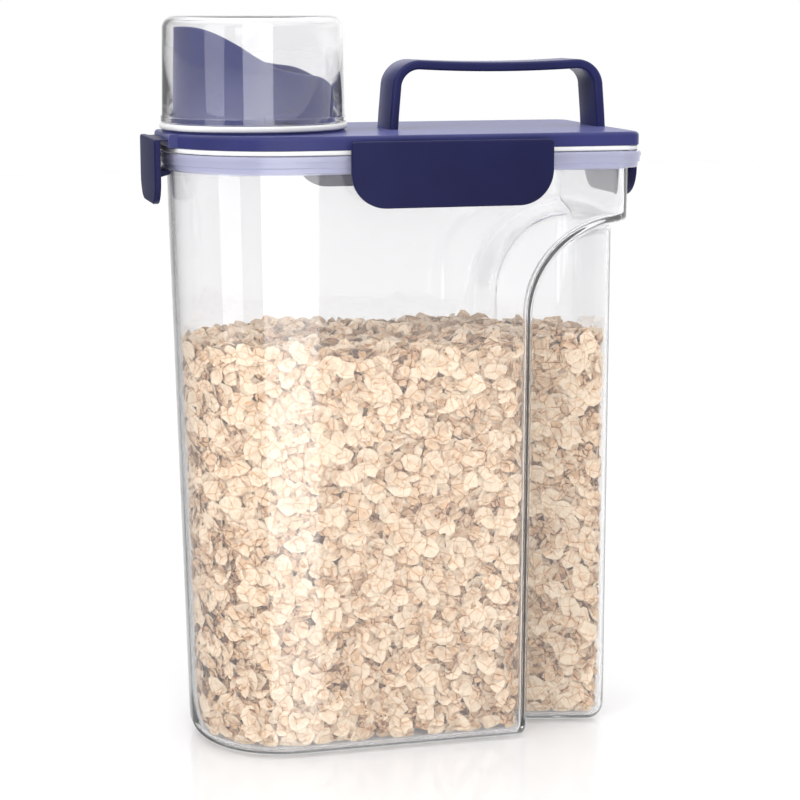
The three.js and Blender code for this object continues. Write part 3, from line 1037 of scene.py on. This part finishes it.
@dataclass
class Latch:
    """A latch plate with a hook bar behind it, built for the near side and turned into place."""

    side: Side
    width: float
    centre: float
    wall: float
    top: float
    bottom: float
    hook_top: float
    hook: float
    corner: float
    hook_reach: float
    inner: float = 3.4
    outer: float = 6.0
    hook_height: float = 2.9
    bevel: float = 0.9
    top_corner: float = 1.6
    web_height: float = 0.8
    hinge_drop: float = 0.6

    def place(self, points: np.ndarray) -> np.ndarray:
        """Turns points built for the near side, at Y = 0 for the lid's wall, onto this latch's side."""
        angle = self.side.turn
        cos, sin = math.cos(angle), math.sin(angle)
        points = np.asarray(points, float) + [0, -self.wall, 0]
        x = points[:, 0] * cos - points[:, 1] * sin + self.centre
        y = points[:, 0] * sin + points[:, 1] * cos
        return np.column_stack([x, y, points[:, 2]])

    def _outline(self, pull: float) -> np.ndarray:
        """Plate outline in X and Z, pulled in all round."""
        half, low, high = self.width / 2 - pull, self.bottom + pull, self.top - pull
        points = []
        for sx, z, radius, start, steps in (
            (1, high, self.top_corner, 0.0, 5), (-1, high, self.top_corner, 0.5, 5),
            (-1, low, self.corner, 1.0, 14), (1, low, self.corner, 1.5, 14),
        ):
            radius = max(radius - pull, 0.3)
            cx, cz = sx * (half - radius), z - radius if z == high else z + radius
            for angle in np.linspace(start, start + 0.5, steps + 1) * math.pi:
                points.append((cx + radius * math.cos(angle), cz + radius * math.sin(angle)))
        return np.array(points)

    def build(self) -> bpy.types.Object:
        """Returns the latch plate with its hook."""
        loops = []
        back = [(0.5, -self.inner), (0.1, -self.inner - 0.1), (0.0, -self.inner - 0.5)]
        front = [(pull, -self.outer + drop * 0.75) for pull, drop in rolled(self.bevel, 6)]
        for pull, y in back + front:
            flat = self._outline(pull)
            loops.append(self.place(np.column_stack([flat[:, 0], np.full(len(flat), y), flat[:, 1]])))
        plate = stacked(f"{self.side.value}_latch_plate", loops, smooth_angle=50.0)
        half, top = self.hook / 2, self.hook_top
        profile = [
            (-self.inner - 0.5, top), (self.hook_reach, top),
            (self.hook_reach, top - self.hook_height * 0.5), (-self.inner, top - self.hook_height),
            (-self.inner - 0.5, top - self.hook_height),
        ]
        ends = [self.place(np.array([(x, y, z) for y, z in profile])) for x in (-half, half)]
        return combine_soft(plate, bevelled(stacked("hook", ends), 0.3, 2))

    def build_web(self) -> bpy.types.Object:
        """Returns the thin web that joins the lid to the latch, in nine rows across its depth."""
        half = self.width / 2 - 3
        z = self.top - self.hinge_drop
        thick = self.web_height / 2
        count = 25
        xs = np.linspace(-half, half, count)
        loops = []
        for y in np.linspace(0.35, -self.inner - 0.35, 9):
            thin = thick * (0.7 + 0.3 * abs(2 * (y + self.inner / 2) / self.inner))
            upper = np.column_stack([xs, np.full(count, y), np.full(count, z + thin)])
            lower = np.column_stack([xs[::-1], np.full(count, y), np.full(count, z - thin)])
            loops.append(self.place(np.vstack([upper, lower])))
        return stacked(f"{self.side.value}_latch_web", loops)


# ---------- spout, seals and cap ----------


@dataclass
class Spout:
    """The pouring spout: a round throat whose lip sweeps from a high front to a low back."""

    centre_x: float
    bottom: float
    seat: float
    rim: float
    throat: float = 29.6
    flange: float = 34.6
    radius: float = 33.4
    lip_radius: float = 31.8
    wall: float = 1.7
    height: float = 38.0
    sweep: tuple = (
        (-45, 37.6), (-25, 37.2), (-13, 31.5), (-4, 25.8), (4, 21.8), (15, 19.2), (25, 17),
        (31, 12.5), (36, 6),
    )
    columns: int = 200
    collar_height: float = 1.6
    lug_x: tuple[float, float] = (-2.0, 10.6)
    lug_rise: tuple[float, float] = (2.2, 5.2)

    def lip(self, x: np.ndarray) -> np.ndarray:
        """Height of the lip above the cap's rim at a distance along X from the axis."""
        knots = np.array(self.sweep, float)
        xs, zs = knots[:, 0], knots[:, 1]
        slopes = np.gradient(zs, xs)
        i = np.clip(np.searchsorted(xs, x) - 1, 0, len(xs) - 2)
        h = xs[i + 1] - xs[i]
        t = (x - xs[i]) / h
        a, b = 2 * t ** 3 - 3 * t ** 2 + 1, t ** 3 - 2 * t ** 2 + t
        return a * zs[i] + b * h * slopes[i] + (1 - a) * zs[i + 1] + (t ** 3 - t ** 2) * h * slopes[i + 1]

    def build(self) -> bpy.types.Object:
        """Returns the spout as one thin wall with a rounded lip."""
        cos = np.cos(np.linspace(0, 2 * math.pi, self.columns, endpoint=False))
        collar = self.seat + self.collar_height
        lip = self.rim + self.lip(self.radius * cos * 0.985)

        def ring(radius: float | np.ndarray, z: float | np.ndarray) -> np.ndarray:
            return circle(self.centre_x, radius, z, self.columns)

        profile = [
            (self.throat, self.bottom), (self.throat, self.seat), (self.flange - 0.2, self.seat),
            (self.flange, self.seat + 0.2), (self.flange, collar - 0.3), (self.flange - 0.3, collar),
            (self.radius, collar),
        ]
        loops = [ring(radius, z) for radius, z in profile]
        half = self.wall / 2
        for t in np.linspace(0.03, 1, 24):
            z = collar + (lip - half - collar) * t
            loops.append(ring(self._outside(z, collar), z))
        outside = self._outside(lip, collar)
        for angle in np.linspace(0, math.pi, 7)[1:-1]:
            across, up = half * math.cos(angle), half * math.sin(angle)
            loops.append(ring(outside - half + across, lip - half + up))
        for t in np.linspace(1, 0, 12):
            z = collar + (lip - half - collar) * t
            loops.append(ring(self._outside(z, collar) - self.wall - (1 - t) * 2.8, z))
        loops.append(ring(self.throat - self.wall, self.bottom))
        spout = stacked("pour_spout_wall", loops, capped=False, smooth_angle=40.0)
        for sign in (-1, 1):
            spout = combine_soft(spout, self._lug(sign, collar))
        return spout

    def _outside(self, z: np.ndarray, collar: float) -> np.ndarray:
        """Outer radius at a height."""
        t = np.clip((z - collar) / (self.rim + self.height - 4 - collar), 0, 1)
        return self.radius + (self.lip_radius - self.radius) * t

    def _lug(self, sign: int, collar: float) -> bpy.types.Object:
        """One of the two small lugs that the cap snaps over."""
        inner, outer = self.radius - 1.4, self.radius + 1.0
        x0, x1 = [self.centre_x + x for x in self.lug_x]
        loops = []
        for rise, drop in zip(self.lug_rise, (0.0, 0.35)):
            z = collar + rise
            loops.append(np.array([
                [x0, sign * inner, z], [x1, sign * (inner - 1.6), z],
                [x1, sign * (outer - 0.9 - drop), z], [x0, sign * (outer - drop), z],
            ]))
        return bevelled(stacked("lug", loops), 0.35, 2)


@dataclass
class Cap:
    """The clear measuring cup that closes the spout."""

    centre_x: float
    base: float
    top: float
    base_radius: float = 37.7
    top_radius: float = 36.5
    wall: float = 1.5
    shoulder: float = 5.0
    bead: float = 0.5

    def build(self) -> bpy.types.Object:
        """Returns the cup as a closed wall of revolution."""
        outside = [(self.top_radius - pull, self.top - drop) for pull, drop in rolled(self.shoulder, 15)]
        inside = [
            (self.top_radius - self.wall - pull, self.top - self.wall - drop)
            for pull, drop in rolled(self.shoulder - self.wall, 15)
        ]
        inner = self.base_radius - self.wall
        start = [
            (inner + 0.3, self.base), (self.base_radius - 0.3, self.base),
            (self.base_radius, self.base + 0.4), (self.base_radius, self.base + 2.2),
            (self.base_radius - self.bead, self.base + 2.9),
        ]
        profile = start + outside + [(12.0, self.top), (0.0, self.top), (0.0, self.top - self.wall)]
        profile += [(12.0, self.top - self.wall)] + inside[::-1]
        profile += [(inner, self.base + 3.0), (inner, self.base + 0.3), (inner + 0.3, self.base)]
        return turned("clear_measuring_cap", profile, self.centre_x, 160)


# ---------- cereal ----------


@dataclass
class Flake:
    """One rolled oat flake: a thin oval with a crease, a cracked edge and a slight curl."""

    length: float = 10.8
    width: float = 8.2
    thickness: float = 0.55
    rim: int = 10

    def build(self, seed: int) -> bpy.types.Object:
        """Makes one variant.

        Args:
            seed: Seed of the variant's outline and curl.

        Returns:
            The flake, lying flat at the origin.
        """
        draw = np.random.default_rng(seed)
        angles = np.linspace(0, 2 * math.pi, self.rim, endpoint=False) + draw.uniform(-0.12, 0.12, self.rim)
        reach = draw.uniform(0.82, 1.06, self.rim)
        crack = draw.integers(0, self.rim)
        reach[crack] *= draw.uniform(0.62, 0.9)
        x = self.length / 2 * reach * np.cos(angles)
        y = self.width / 2 * reach * np.sin(angles)
        curl, twist = draw.uniform(-0.01, 0.035), draw.uniform(-0.02, 0.02)
        wave = draw.uniform(-0.25, 0.25, self.rim)
        half = self.thickness / 2
        inner = np.array([
            [-0.3, 0, -0.3], [0, 0, -0.6], [0.3, 0, -0.3], [-0.1, 0.24, 0.7], [0.12, -0.24, 0.7],
        ]) * [self.length, self.width, half]
        rim = np.column_stack([x, y, wave])
        upper = np.vstack([rim, inner])
        upper[:, 2] += curl * upper[:, 1] ** 2 + twist * upper[:, 0] * upper[:, 1]
        outline = [(i, (i + 1) % self.rim) for i in range(self.rim)]
        flat = [Vector((px, py)) for px, py in upper[:, :2]]
        _, _, top_faces, _, _, _ = delaunay_2d_cdt(flat, outline, [], 1, 1e-5)
        under = len(upper)
        points = np.vstack([upper, [0, 0, -half * 1.8]])
        faces = list(top_faces) + [[(i + 1) % self.rim, i, under] for i in range(self.rim)]
        flake = mesh_object(f"flake_{seed}", points, faces, 75.0)
        edge = flake.data.attributes.new("edge", "FLOAT", "POINT")
        spread = np.array([
            math.hypot(v.co.x / self.length, v.co.y / self.width) for v in flake.data.vertices])
        edge.data.foreach_set("value", np.clip(spread * 2 / MM, 0, 1).astype(np.float32))
        return flake


@dataclass
class Cereal:
    """The oats inside: a packed core and loose flakes that lie against the walls and on top. The core is
    coloured dark all over: painted shade that shows in the gaps between the flakes.
    """

    container: Container
    fill: float = 166.5
    swell: float = 3.0
    clearance: float = 0.55
    core_skin: float = 4.2
    variants: int = 8
    spacing: float = 2.6
    smallest: float = 0.3
    largest: float = 1.08
    depths: tuple[float, float] = (-2.2, 1.6)
    tones: tuple[float, float] = (-0.02, 0.62)
    tilts: tuple = (("near", 0.5), ("far", 0.45), ("top", 0.8))
    seed: int = 7
    seed_step: int = 11

    def build(self, material: bpy.types.Material) -> list:
        """Returns the core and the layers of flakes."""
        wall = self.container.wall
        envelope = self._heap("envelope", wall + self.clearance, 9.0)
        # The core takes a low, dark tone: painted shade seen in the gaps between the flakes.
        core = self._heap("cereal_core", wall + self.core_skin, 0.0)
        self._paint_core_shade(core)
        bed = self._heap("bed", wall + self.clearance + 2.4, 1.6)
        surfaces = self._split(bed)
        bpy.data.objects.remove(bed)
        tree = BVHTree.FromObject(envelope, bpy.context.evaluated_depsgraph_get())
        bpy.data.objects.remove(envelope)
        pieces = [core]
        flakes = bpy.data.collections.new("flakes")
        bpy.context.scene.collection.children.link(flakes)
        for seed in range(self.variants):
            flake = Flake().build(self.seed + seed)
            bpy.context.scene.collection.objects.unlink(flake)
            flakes.objects.link(flake)
        for index, (surface, tilt) in enumerate(surfaces):
            layer = self._scatter(surface, flakes, material, index, tilt)
            self._press(layer, tree)
            smooth(layer.data, 60.0)
            pieces.append(layer)
        for flake in list(flakes.objects):
            bpy.data.objects.remove(flake)
        bpy.data.collections.remove(flakes)
        return pieces

    def _surface_height(self, x: np.ndarray, y: np.ndarray) -> np.ndarray:
        """Uneven top of the heap."""
        waves = np.sin(x * 0.045 + 0.6) * np.cos(y * 0.06) + 0.6 * np.sin(x * 0.11 + y * 0.13)
        return self.fill + self.swell * 0.5 * waves

    def _heap(self, name: str, skin: float, raise_by: float) -> bpy.types.Object:
        """A closed heap inside the wall.

        Args:
            name: Name of the object.
            skin: Distance in from the container's outer surface.
            raise_by: How far its top lies above the heap's own.

        Returns:
            The closed mesh.
        """
        container = self.container
        radius = max(container.foot_round - skin, 1.5)
        low = container.floor + skin - container.wall
        loops = [container.section(z, skin, pull) for z, pull in container.foot(low, radius)]
        last = loops[-1][0][2]
        for z in np.linspace(last + 4, self.fill - 4 + raise_by, 24):
            loops.append(container.section(z, skin))
        top = container.section(self.fill + raise_by, skin)
        centre = np.array([4.0, 0.0])
        for scale in np.linspace(1, 0.04, 22):
            ring = top.copy()
            ring[:, :2] = centre + (top[:, :2] - centre) * [scale, scale]
            ring[:, 2] = self._surface_height(ring[:, 0], ring[:, 1]) + raise_by
            loops.append(ring)
        return stacked(name, loops, smooth_angle=80.0)

    def _paint_core_shade(self, piece: bpy.types.Object, value: float = 0.02) -> None:
        """Gives a piece the flakes' attributes with one low value all over, which colours it dark as painted
        shade between the flakes.
        """
        for name in ("tone", "edge"):
            even = piece.data.attributes.new(name, "FLOAT", "POINT")
            even.data.foreach_set("value", np.full(len(piece.data.vertices), value, np.float32))

    def _split(self, bed: bpy.types.Object) -> list:
        """Splits the bed into near wall, far wall and top, each with how much its flakes tilt."""
        parts = []
        for name, tilt in self.tilts:
            piece = bed.copy()
            piece.data = bed.data.copy()
            piece.name = f"oat_flakes_{name}"
            bpy.context.scene.collection.objects.link(piece)
            work = bmesh.new()
            work.from_mesh(piece.data)
            limit = (self.fill - 5) * MM
            drop = []
            for face in work.faces:
                centre = face.calc_center_median()
                is_top = centre.z > limit and face.normal.z > 0.4
                kind = "top" if is_top else ("near" if centre.y < 0 else "far")
                if kind != name or face.normal.z < -0.8:
                    drop.append(face)
            bmesh.ops.delete(work, geom=drop, context="FACES")
            work.to_mesh(piece.data)
            work.free()
            parts.append((piece, tilt))
        return parts

    def _scatter(self, surface: bpy.types.Object, flakes: bpy.types.Collection,
                 material: bpy.types.Material, index: int, tilt: float) -> bpy.types.Object:
        """Scatters flakes over a surface with Geometry Nodes.

        Args:
            surface: Surface that the flakes lie on, used up.
            flakes: Collection of flake variants.
            material: Material of the flakes.
            index: Number of the layer, which shifts the seed.
            tilt: Largest lean of a flake from the surface, in radians.

        Returns:
            The flakes as one plain mesh.
        """
        group = NodeGroup(f"{surface.name}_scatter")
        density, lean, smallest = [group.value(name) for name in ("Density", "Lean", "Smallest")]
        seed = group.value("Seed", "NodeSocketInt")
        spread = group.add("GeometryNodeDistributePointsOnFaces", distribute_method="RANDOM")
        group.link(group.start.outputs["Geometry"], spread.inputs["Mesh"])
        group.link(density, spread.inputs["Density"])
        group.link(seed, spread.inputs["Seed"])
        pick = group.add("GeometryNodeCollectionInfo")
        pick.inputs["Collection"].default_value = flakes
        pick.inputs["Separate Children"].default_value = True
        pick.inputs["Reset Children"].default_value = True
        place = group.add("GeometryNodeInstanceOnPoints")
        place.inputs["Pick Instance"].default_value = True
        group.link(spread.outputs["Points"], place.inputs["Points"])
        group.link(pick.outputs["Instances"], place.inputs["Instance"])
        group.link(spread.outputs["Rotation"], place.inputs["Rotation"])
        group.link(group.random("FLOAT", smallest, self.largest), place.inputs["Scale"])
        negative = group.add("ShaderNodeMath", operation="MULTIPLY")
        negative.inputs[1].default_value = -1.0
        group.link(lean, negative.inputs[0])
        lowest = group.add("ShaderNodeCombineXYZ")
        highest = group.add("ShaderNodeCombineXYZ")
        for axis in ("X", "Y"):
            group.link(negative.outputs[0], lowest.inputs[axis])
            group.link(lean, highest.inputs[axis])
        highest.inputs["Z"].default_value = 2 * math.pi
        turn = group.add("GeometryNodeRotateInstances")
        group.link(place.outputs["Instances"], turn.inputs["Instances"])
        spin = group.random("FLOAT_VECTOR", lowest.outputs[0], highest.outputs[0])
        group.link(spin, turn.inputs["Rotation"])
        shift = group.add("GeometryNodeTranslateInstances")
        group.link(turn.outputs["Instances"], shift.inputs["Instances"])
        sunk, raised = [(0, 0, height * MM) for height in self.depths]
        group.link(group.random("FLOAT_VECTOR", sunk, raised), shift.inputs["Translation"])
        tone = group.add("GeometryNodeStoreNamedAttribute", data_type="FLOAT", domain="INSTANCE")
        tone.inputs["Name"].default_value = "tone"
        group.link(shift.outputs["Instances"], tone.inputs["Geometry"])
        group.link(group.random("FLOAT", *self.tones), tone.inputs["Value"])
        group.finish(tone.outputs["Geometry"], material)
        return group.apply(surface, {
            "Density": 1 / (self.spacing * MM) ** 2, "Lean": tilt, "Smallest": self.smallest,
            "Seed": self.seed + index * self.seed_step,
        })

    def _press(self, layer: bpy.types.Object, tree: BVHTree) -> None:
        """Presses every point that lies outside the heap's envelope back onto it."""
        for vertex in layer.data.vertices:
            place, normal, _, _ = tree.find_nearest(vertex.co)
            gap = (vertex.co - place).dot(normal)
            if gap > 0:
                vertex.co = place - normal * (0.05 * MM)


# ---------- studio ----------


class Seen(Enum):
    """Which surfaces a light acts on."""

    GLOSS = "mirrored in glossy surfaces"
    DIFFUSE = "lights matt surfaces"


@dataclass
class Softbox:
    """A rectangular soft light that faces a point."""

    name: str
    place: tuple[float, float, float]
    target: tuple[float, float, float]
    width: float
    height: float
    radiance: float
    seen: Seen

    def build(self) -> None:
        """Hangs the light, which the camera itself doesn't see."""
        data = bpy.data.lights.new(self.name, "AREA")
        data.shape = "RECTANGLE"
        data.size, data.size_y = self.width, self.height
        data.energy = self.radiance * math.pi * self.width * self.height
        light = bpy.data.objects.new(self.name, data)
        light.location = self.place
        direction = Vector(self.target) - Vector(self.place)
        light.rotation_euler = direction.to_track_quat("-Z", "Y").to_euler()
        light.visible_camera = False
        light.visible_glossy = self.seen is Seen.GLOSS
        light.visible_diffuse = self.seen is Seen.DIFFUSE
        bpy.context.scene.collection.objects.link(light)


@dataclass
class Studio:
    """Pale floor, white surroundings, soft lights and the camera."""

    lens: float = 94.5
    place: tuple[float, float, float] = (-0.21655, -0.8487, 0.3060)
    yaw: float = 14.66
    pitch: float = 10.69
    floor_half: float = 3.0
    floor_gap: float = 0.3

    def camera(self) -> None:
        """Sets the camera at the angle from which the dispenser is shown."""
        data = bpy.data.cameras.new("camera")
        data.lens = self.lens
        camera = bpy.data.objects.new("camera", data)
        camera.location = self.place
        yaw, pitch = math.radians(self.yaw), math.radians(self.pitch)
        flat = math.cos(pitch)
        look = Vector((math.sin(yaw) * flat, math.cos(yaw) * flat, -math.sin(pitch)))
        camera.rotation_euler = look.to_track_quat("-Z", "Y").to_euler()
        bpy.context.scene.collection.objects.link(camera)
        bpy.context.scene.camera = camera

    def floor(self, material: bpy.types.Material) -> None:
        """Lays the floor."""
        signs = np.array([[-1, -1], [1, -1], [1, 1], [-1, 1]])
        corners = np.column_stack([signs * (self.floor_half / MM), np.full(4, -self.floor_gap)])
        floor = mesh_object("studio_floor", corners, [[0, 1, 2, 3]])
        floor.data.materials.append(material)
        floor.visible_glossy = False
        floor.visible_shadow = False

    def surroundings(self, seen: float = 1.0, back: float = 1.0, front: float = 0.42, left: float = 0.22,
                     above: float = 1.4) -> None:
        """Makes a white surround that is bright above, dimmer on the camera's side and dark at the left.

        Args:
            seen: Brightness where the camera sees it directly.
            back: Brightness behind the dispenser.
            front: Brightness on the camera's side.
            left: Share of that brightness that is left at the far left.
            above: Brightness overhead.
        """
        world = bpy.data.worlds.new("studio")
        bpy.context.scene.world = world
        world.use_nodes = True
        tree = world.node_tree
        tree.nodes.clear()
        coordinates = tree.nodes.new("ShaderNodeTexCoord")
        split = tree.nodes.new("ShaderNodeSeparateXYZ")
        tree.links.new(coordinates.outputs["Generated"], split.inputs[0])

        def sweep(axis: str, low: float, high: float, start: float, end: float) -> bpy.types.NodeSocket:
            ramp = tree.nodes.new("ShaderNodeMapRange")
            for name, value in (("From Min", low), ("From Max", high), ("To Min", start), ("To Max", end)):
                ramp.inputs[name].default_value = value
            tree.links.new(split.outputs[axis], ramp.inputs["Value"])
            return ramp.outputs[0]

        def mixed(share: bpy.types.NodeSocket, low: bpy.types.NodeSocket,
                  high: float) -> bpy.types.NodeSocket:
            mix = tree.nodes.new("ShaderNodeMix")
            tree.links.new(share, mix.inputs[0])
            tree.links.new(low, mix.inputs[2])
            mix.inputs[3].default_value = high
            return mix.outputs[0]

        around = tree.nodes.new("ShaderNodeMath")
        around.operation = "MULTIPLY"
        tree.links.new(sweep("Y", -0.75, 0.1, front, back), around.inputs[0])
        tree.links.new(sweep("X", -0.22, 0.06, left, 1.0), around.inputs[1])
        whole = mixed(sweep("Z", 0.3, 0.75, 0.0, 1.0), around.outputs[0], above)
        path = tree.nodes.new("ShaderNodeLightPath")
        background = tree.nodes.new("ShaderNodeBackground")
        background.inputs["Color"].default_value = (1.0, 1.0, 1.0, 1.0)
        tree.links.new(mixed(path.outputs["Is Camera Ray"], whole, seen), background.inputs["Strength"])
        output = tree.nodes.new("ShaderNodeOutputWorld")
        tree.links.new(background.outputs[0], output.inputs["Surface"])

    def lights(self) -> None:
        """Hangs the soft lights."""
        for values in (
            ("front_strip", (-0.084, -0.32, 0.10), (-0.084, 0.0, 0.10), 0.212, 1.10, 1.6, Seen.GLOSS),
            ("front_fill", (0.05, -0.85, 0.75), (0.0, 0.0, 0.12), 0.30, 0.30, 5.6, Seen.DIFFUSE),
            ("left_fill", (-0.75, -0.40, 0.40), (0.0, 0.0, 0.20), 0.40, 0.90, 2.0, Seen.DIFFUSE),
        ):
            Softbox(*values).build()

    def build(self, finishes: Finishes) -> None:
        """Sets up the whole studio."""
        self.camera()
        self.floor(finishes.floor)
        self.surroundings()
        self.lights()
        bpy.context.scene.view_settings.view_transform = "Standard"


# ---------- dispenser ----------


class Dispenser:
    """Builds every piece from the frame's boxes, in order."""

    def __init__(self, finishes: Finishes) -> None:
        """Reads the sizes that follow from the frame."""
        self.finishes = finishes
        low, high = node_box("container_body")
        self.outline = Outline(high[0] - low[0], high[1] - low[1])
        self.container = Container(self.outline, high[2], Grip())
        self.cap_low, self.cap_high = node_box("measuring_cap")
        self.spout_x = (self.cap_low[0] + self.cap_high[0]) / 2

    def build_container(self) -> None:
        """Makes the clear container and the oats in it."""
        container = self.container.build()
        finished(container, self.finishes.clear_body, "container", "clear_body", "container_body")
        container.data.materials.append(self.finishes.clear_rim)
        rim_bottom = (self.container.rim_bottom + 0.02) * MM
        for face in container.data.polygons:
            face.material_index = int(face.center.z > rim_bottom and face.normal.z < 0.99)
        for piece in Cereal(self.container).build(self.finishes.oats):
            finished(piece, self.finishes.oats, "container")

    def build_lid(self) -> None:
        """Makes the lid, its gasket, the handle and the seals."""
        low, high = node_box("lid_shell")
        pad_top = high[2]
        lid_top = pad_top - PAD_HEIGHT
        gasket_low, _ = node_box("lid_gasket")
        bottom = node_box("container_body")[1][2] + LID_GAP
        lid = Lid(self.outline, bottom, lid_top, low[2], pad_top, self.spout_x)
        finished(lid.build(), self.finishes.navy_lid, "lid", "navy_lid", "lid_shell")
        path = self.outline.loop((gasket_low[2] + bottom) / 2, GASKET_INSET)
        section = rounded_rectangle(GASKET_HALF_WIDTH, (bottom - 0.1 - gasket_low[2]) / 2, 0.6, 5)
        gasket = swept("white_lid_gasket", path, True, section, self.finishes.silicone)
        finished(gasket, self.finishes.silicone, "lid", "white_silicone", "lid_gasket")
        handle_low, handle_high = node_box("handle")
        centre, span = (handle_low[0] + handle_high[0]) / 2, handle_high[0] - handle_low[0]
        navy = self.finishes.navy_handle
        handle = Handle(centre, span, lid_top - HANDLE_SEAT, handle_high[2]).build(navy)
        finished(handle, navy, "lid", "navy_handle", "handle")
        self._seals()

    def _seals(self) -> None:
        """Makes the white ring under the cap and the seal under the spout."""
        low, high = node_box("cap_seal_ring")
        radius = (high[0] - low[0]) / 2 - RING_HALF_WIDTH
        path = circle(self.spout_x, radius, (low[2] + high[2]) / 2, 160)
        section = rounded_rectangle(RING_HALF_WIDTH, (high[2] - low[2]) / 2, 1.0, 6)
        ring = swept("white_cap_ring", path, True, section, self.finishes.silicone)
        finished(ring, self.finishes.silicone, "lid", "white_silicone", "cap_seal_ring")
        low, high = node_box("spout_seal")
        outer = (high[0] - low[0]) / 2
        inner = outer - SEAL_WIDTH
        profile = [
            (inner, low[2]), (outer, low[2]), (outer, high[2]), (inner, high[2]), (inner, low[2]),
        ]
        seal = turned("white_spout_seal", profile, self.spout_x, 96)
        finished(seal, self.finishes.silicone, "lid", "white_silicone", "spout_seal")

    def build_latches(self) -> None:
        """Makes the four latches and their webs."""
        for side in Side:
            low, high = node_box(f"latch_{side.value}")
            is_end = side in (Side.FRONT, Side.BACK)
            axis = 1 if is_end else 0
            wall = max(abs(low[1 - axis]), abs(high[1 - axis])) - Latch.outer
            centre = 0.0 if is_end else (low[0] + high[0]) / 2
            latch = Latch(
                side, high[axis] - low[axis], centre, wall, high[2], low[2],
                self.container.rim_bottom - 0.3, *LATCH_SHAPES[side],
            )
            body, navy = f"{side.value}_latch", self.finishes.navy_latch
            finished(latch.build(), navy, body, "navy_latch", f"latch_{side.value}")
            web = latch.build_web()
            web.data.materials.append(navy)
            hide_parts(f"latch_web_{side.value}")
            hinge_z = latch.top - latch.hinge_drop
            ends = np.array([[0, 0.2, hinge_z], [0, -latch.inner - 0.2, hinge_z]])
            start, end = latch.place(ends) * MM
            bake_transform(web)

    def build_spout(self) -> None:
        """Makes the spout and the measuring cap."""
        low, _ = node_box("pour_spout")
        _, pad = node_box("lid_shell")
        spout = Spout(self.spout_x, low[2], pad[2] + 0.3, self.cap_low[2])
        finished(spout.build(), self.finishes.navy_spout, "lid", "navy_spout", "pour_spout")
        cap = Cap(self.spout_x, self.cap_low[2], self.cap_high[2])
        finished(cap.build(), self.finishes.clear_cap, "cap", "clear_cap", "measuring_cap")

    def build(self) -> None:
        """Builds the whole dispenser."""
        self.build_container()
        self.build_lid()
        self.build_latches()
        self.build_spout()


def main() -> None:
    """Builds the studio and the dispenser."""
    logging.basicConfig(level=logging.INFO, format="%(name)s: %(message)s")
    finishes = Finishes()
    Studio().build(finishes)
    Dispenser(finishes).build()
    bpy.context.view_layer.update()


if __name__ == "__main__":
    main()
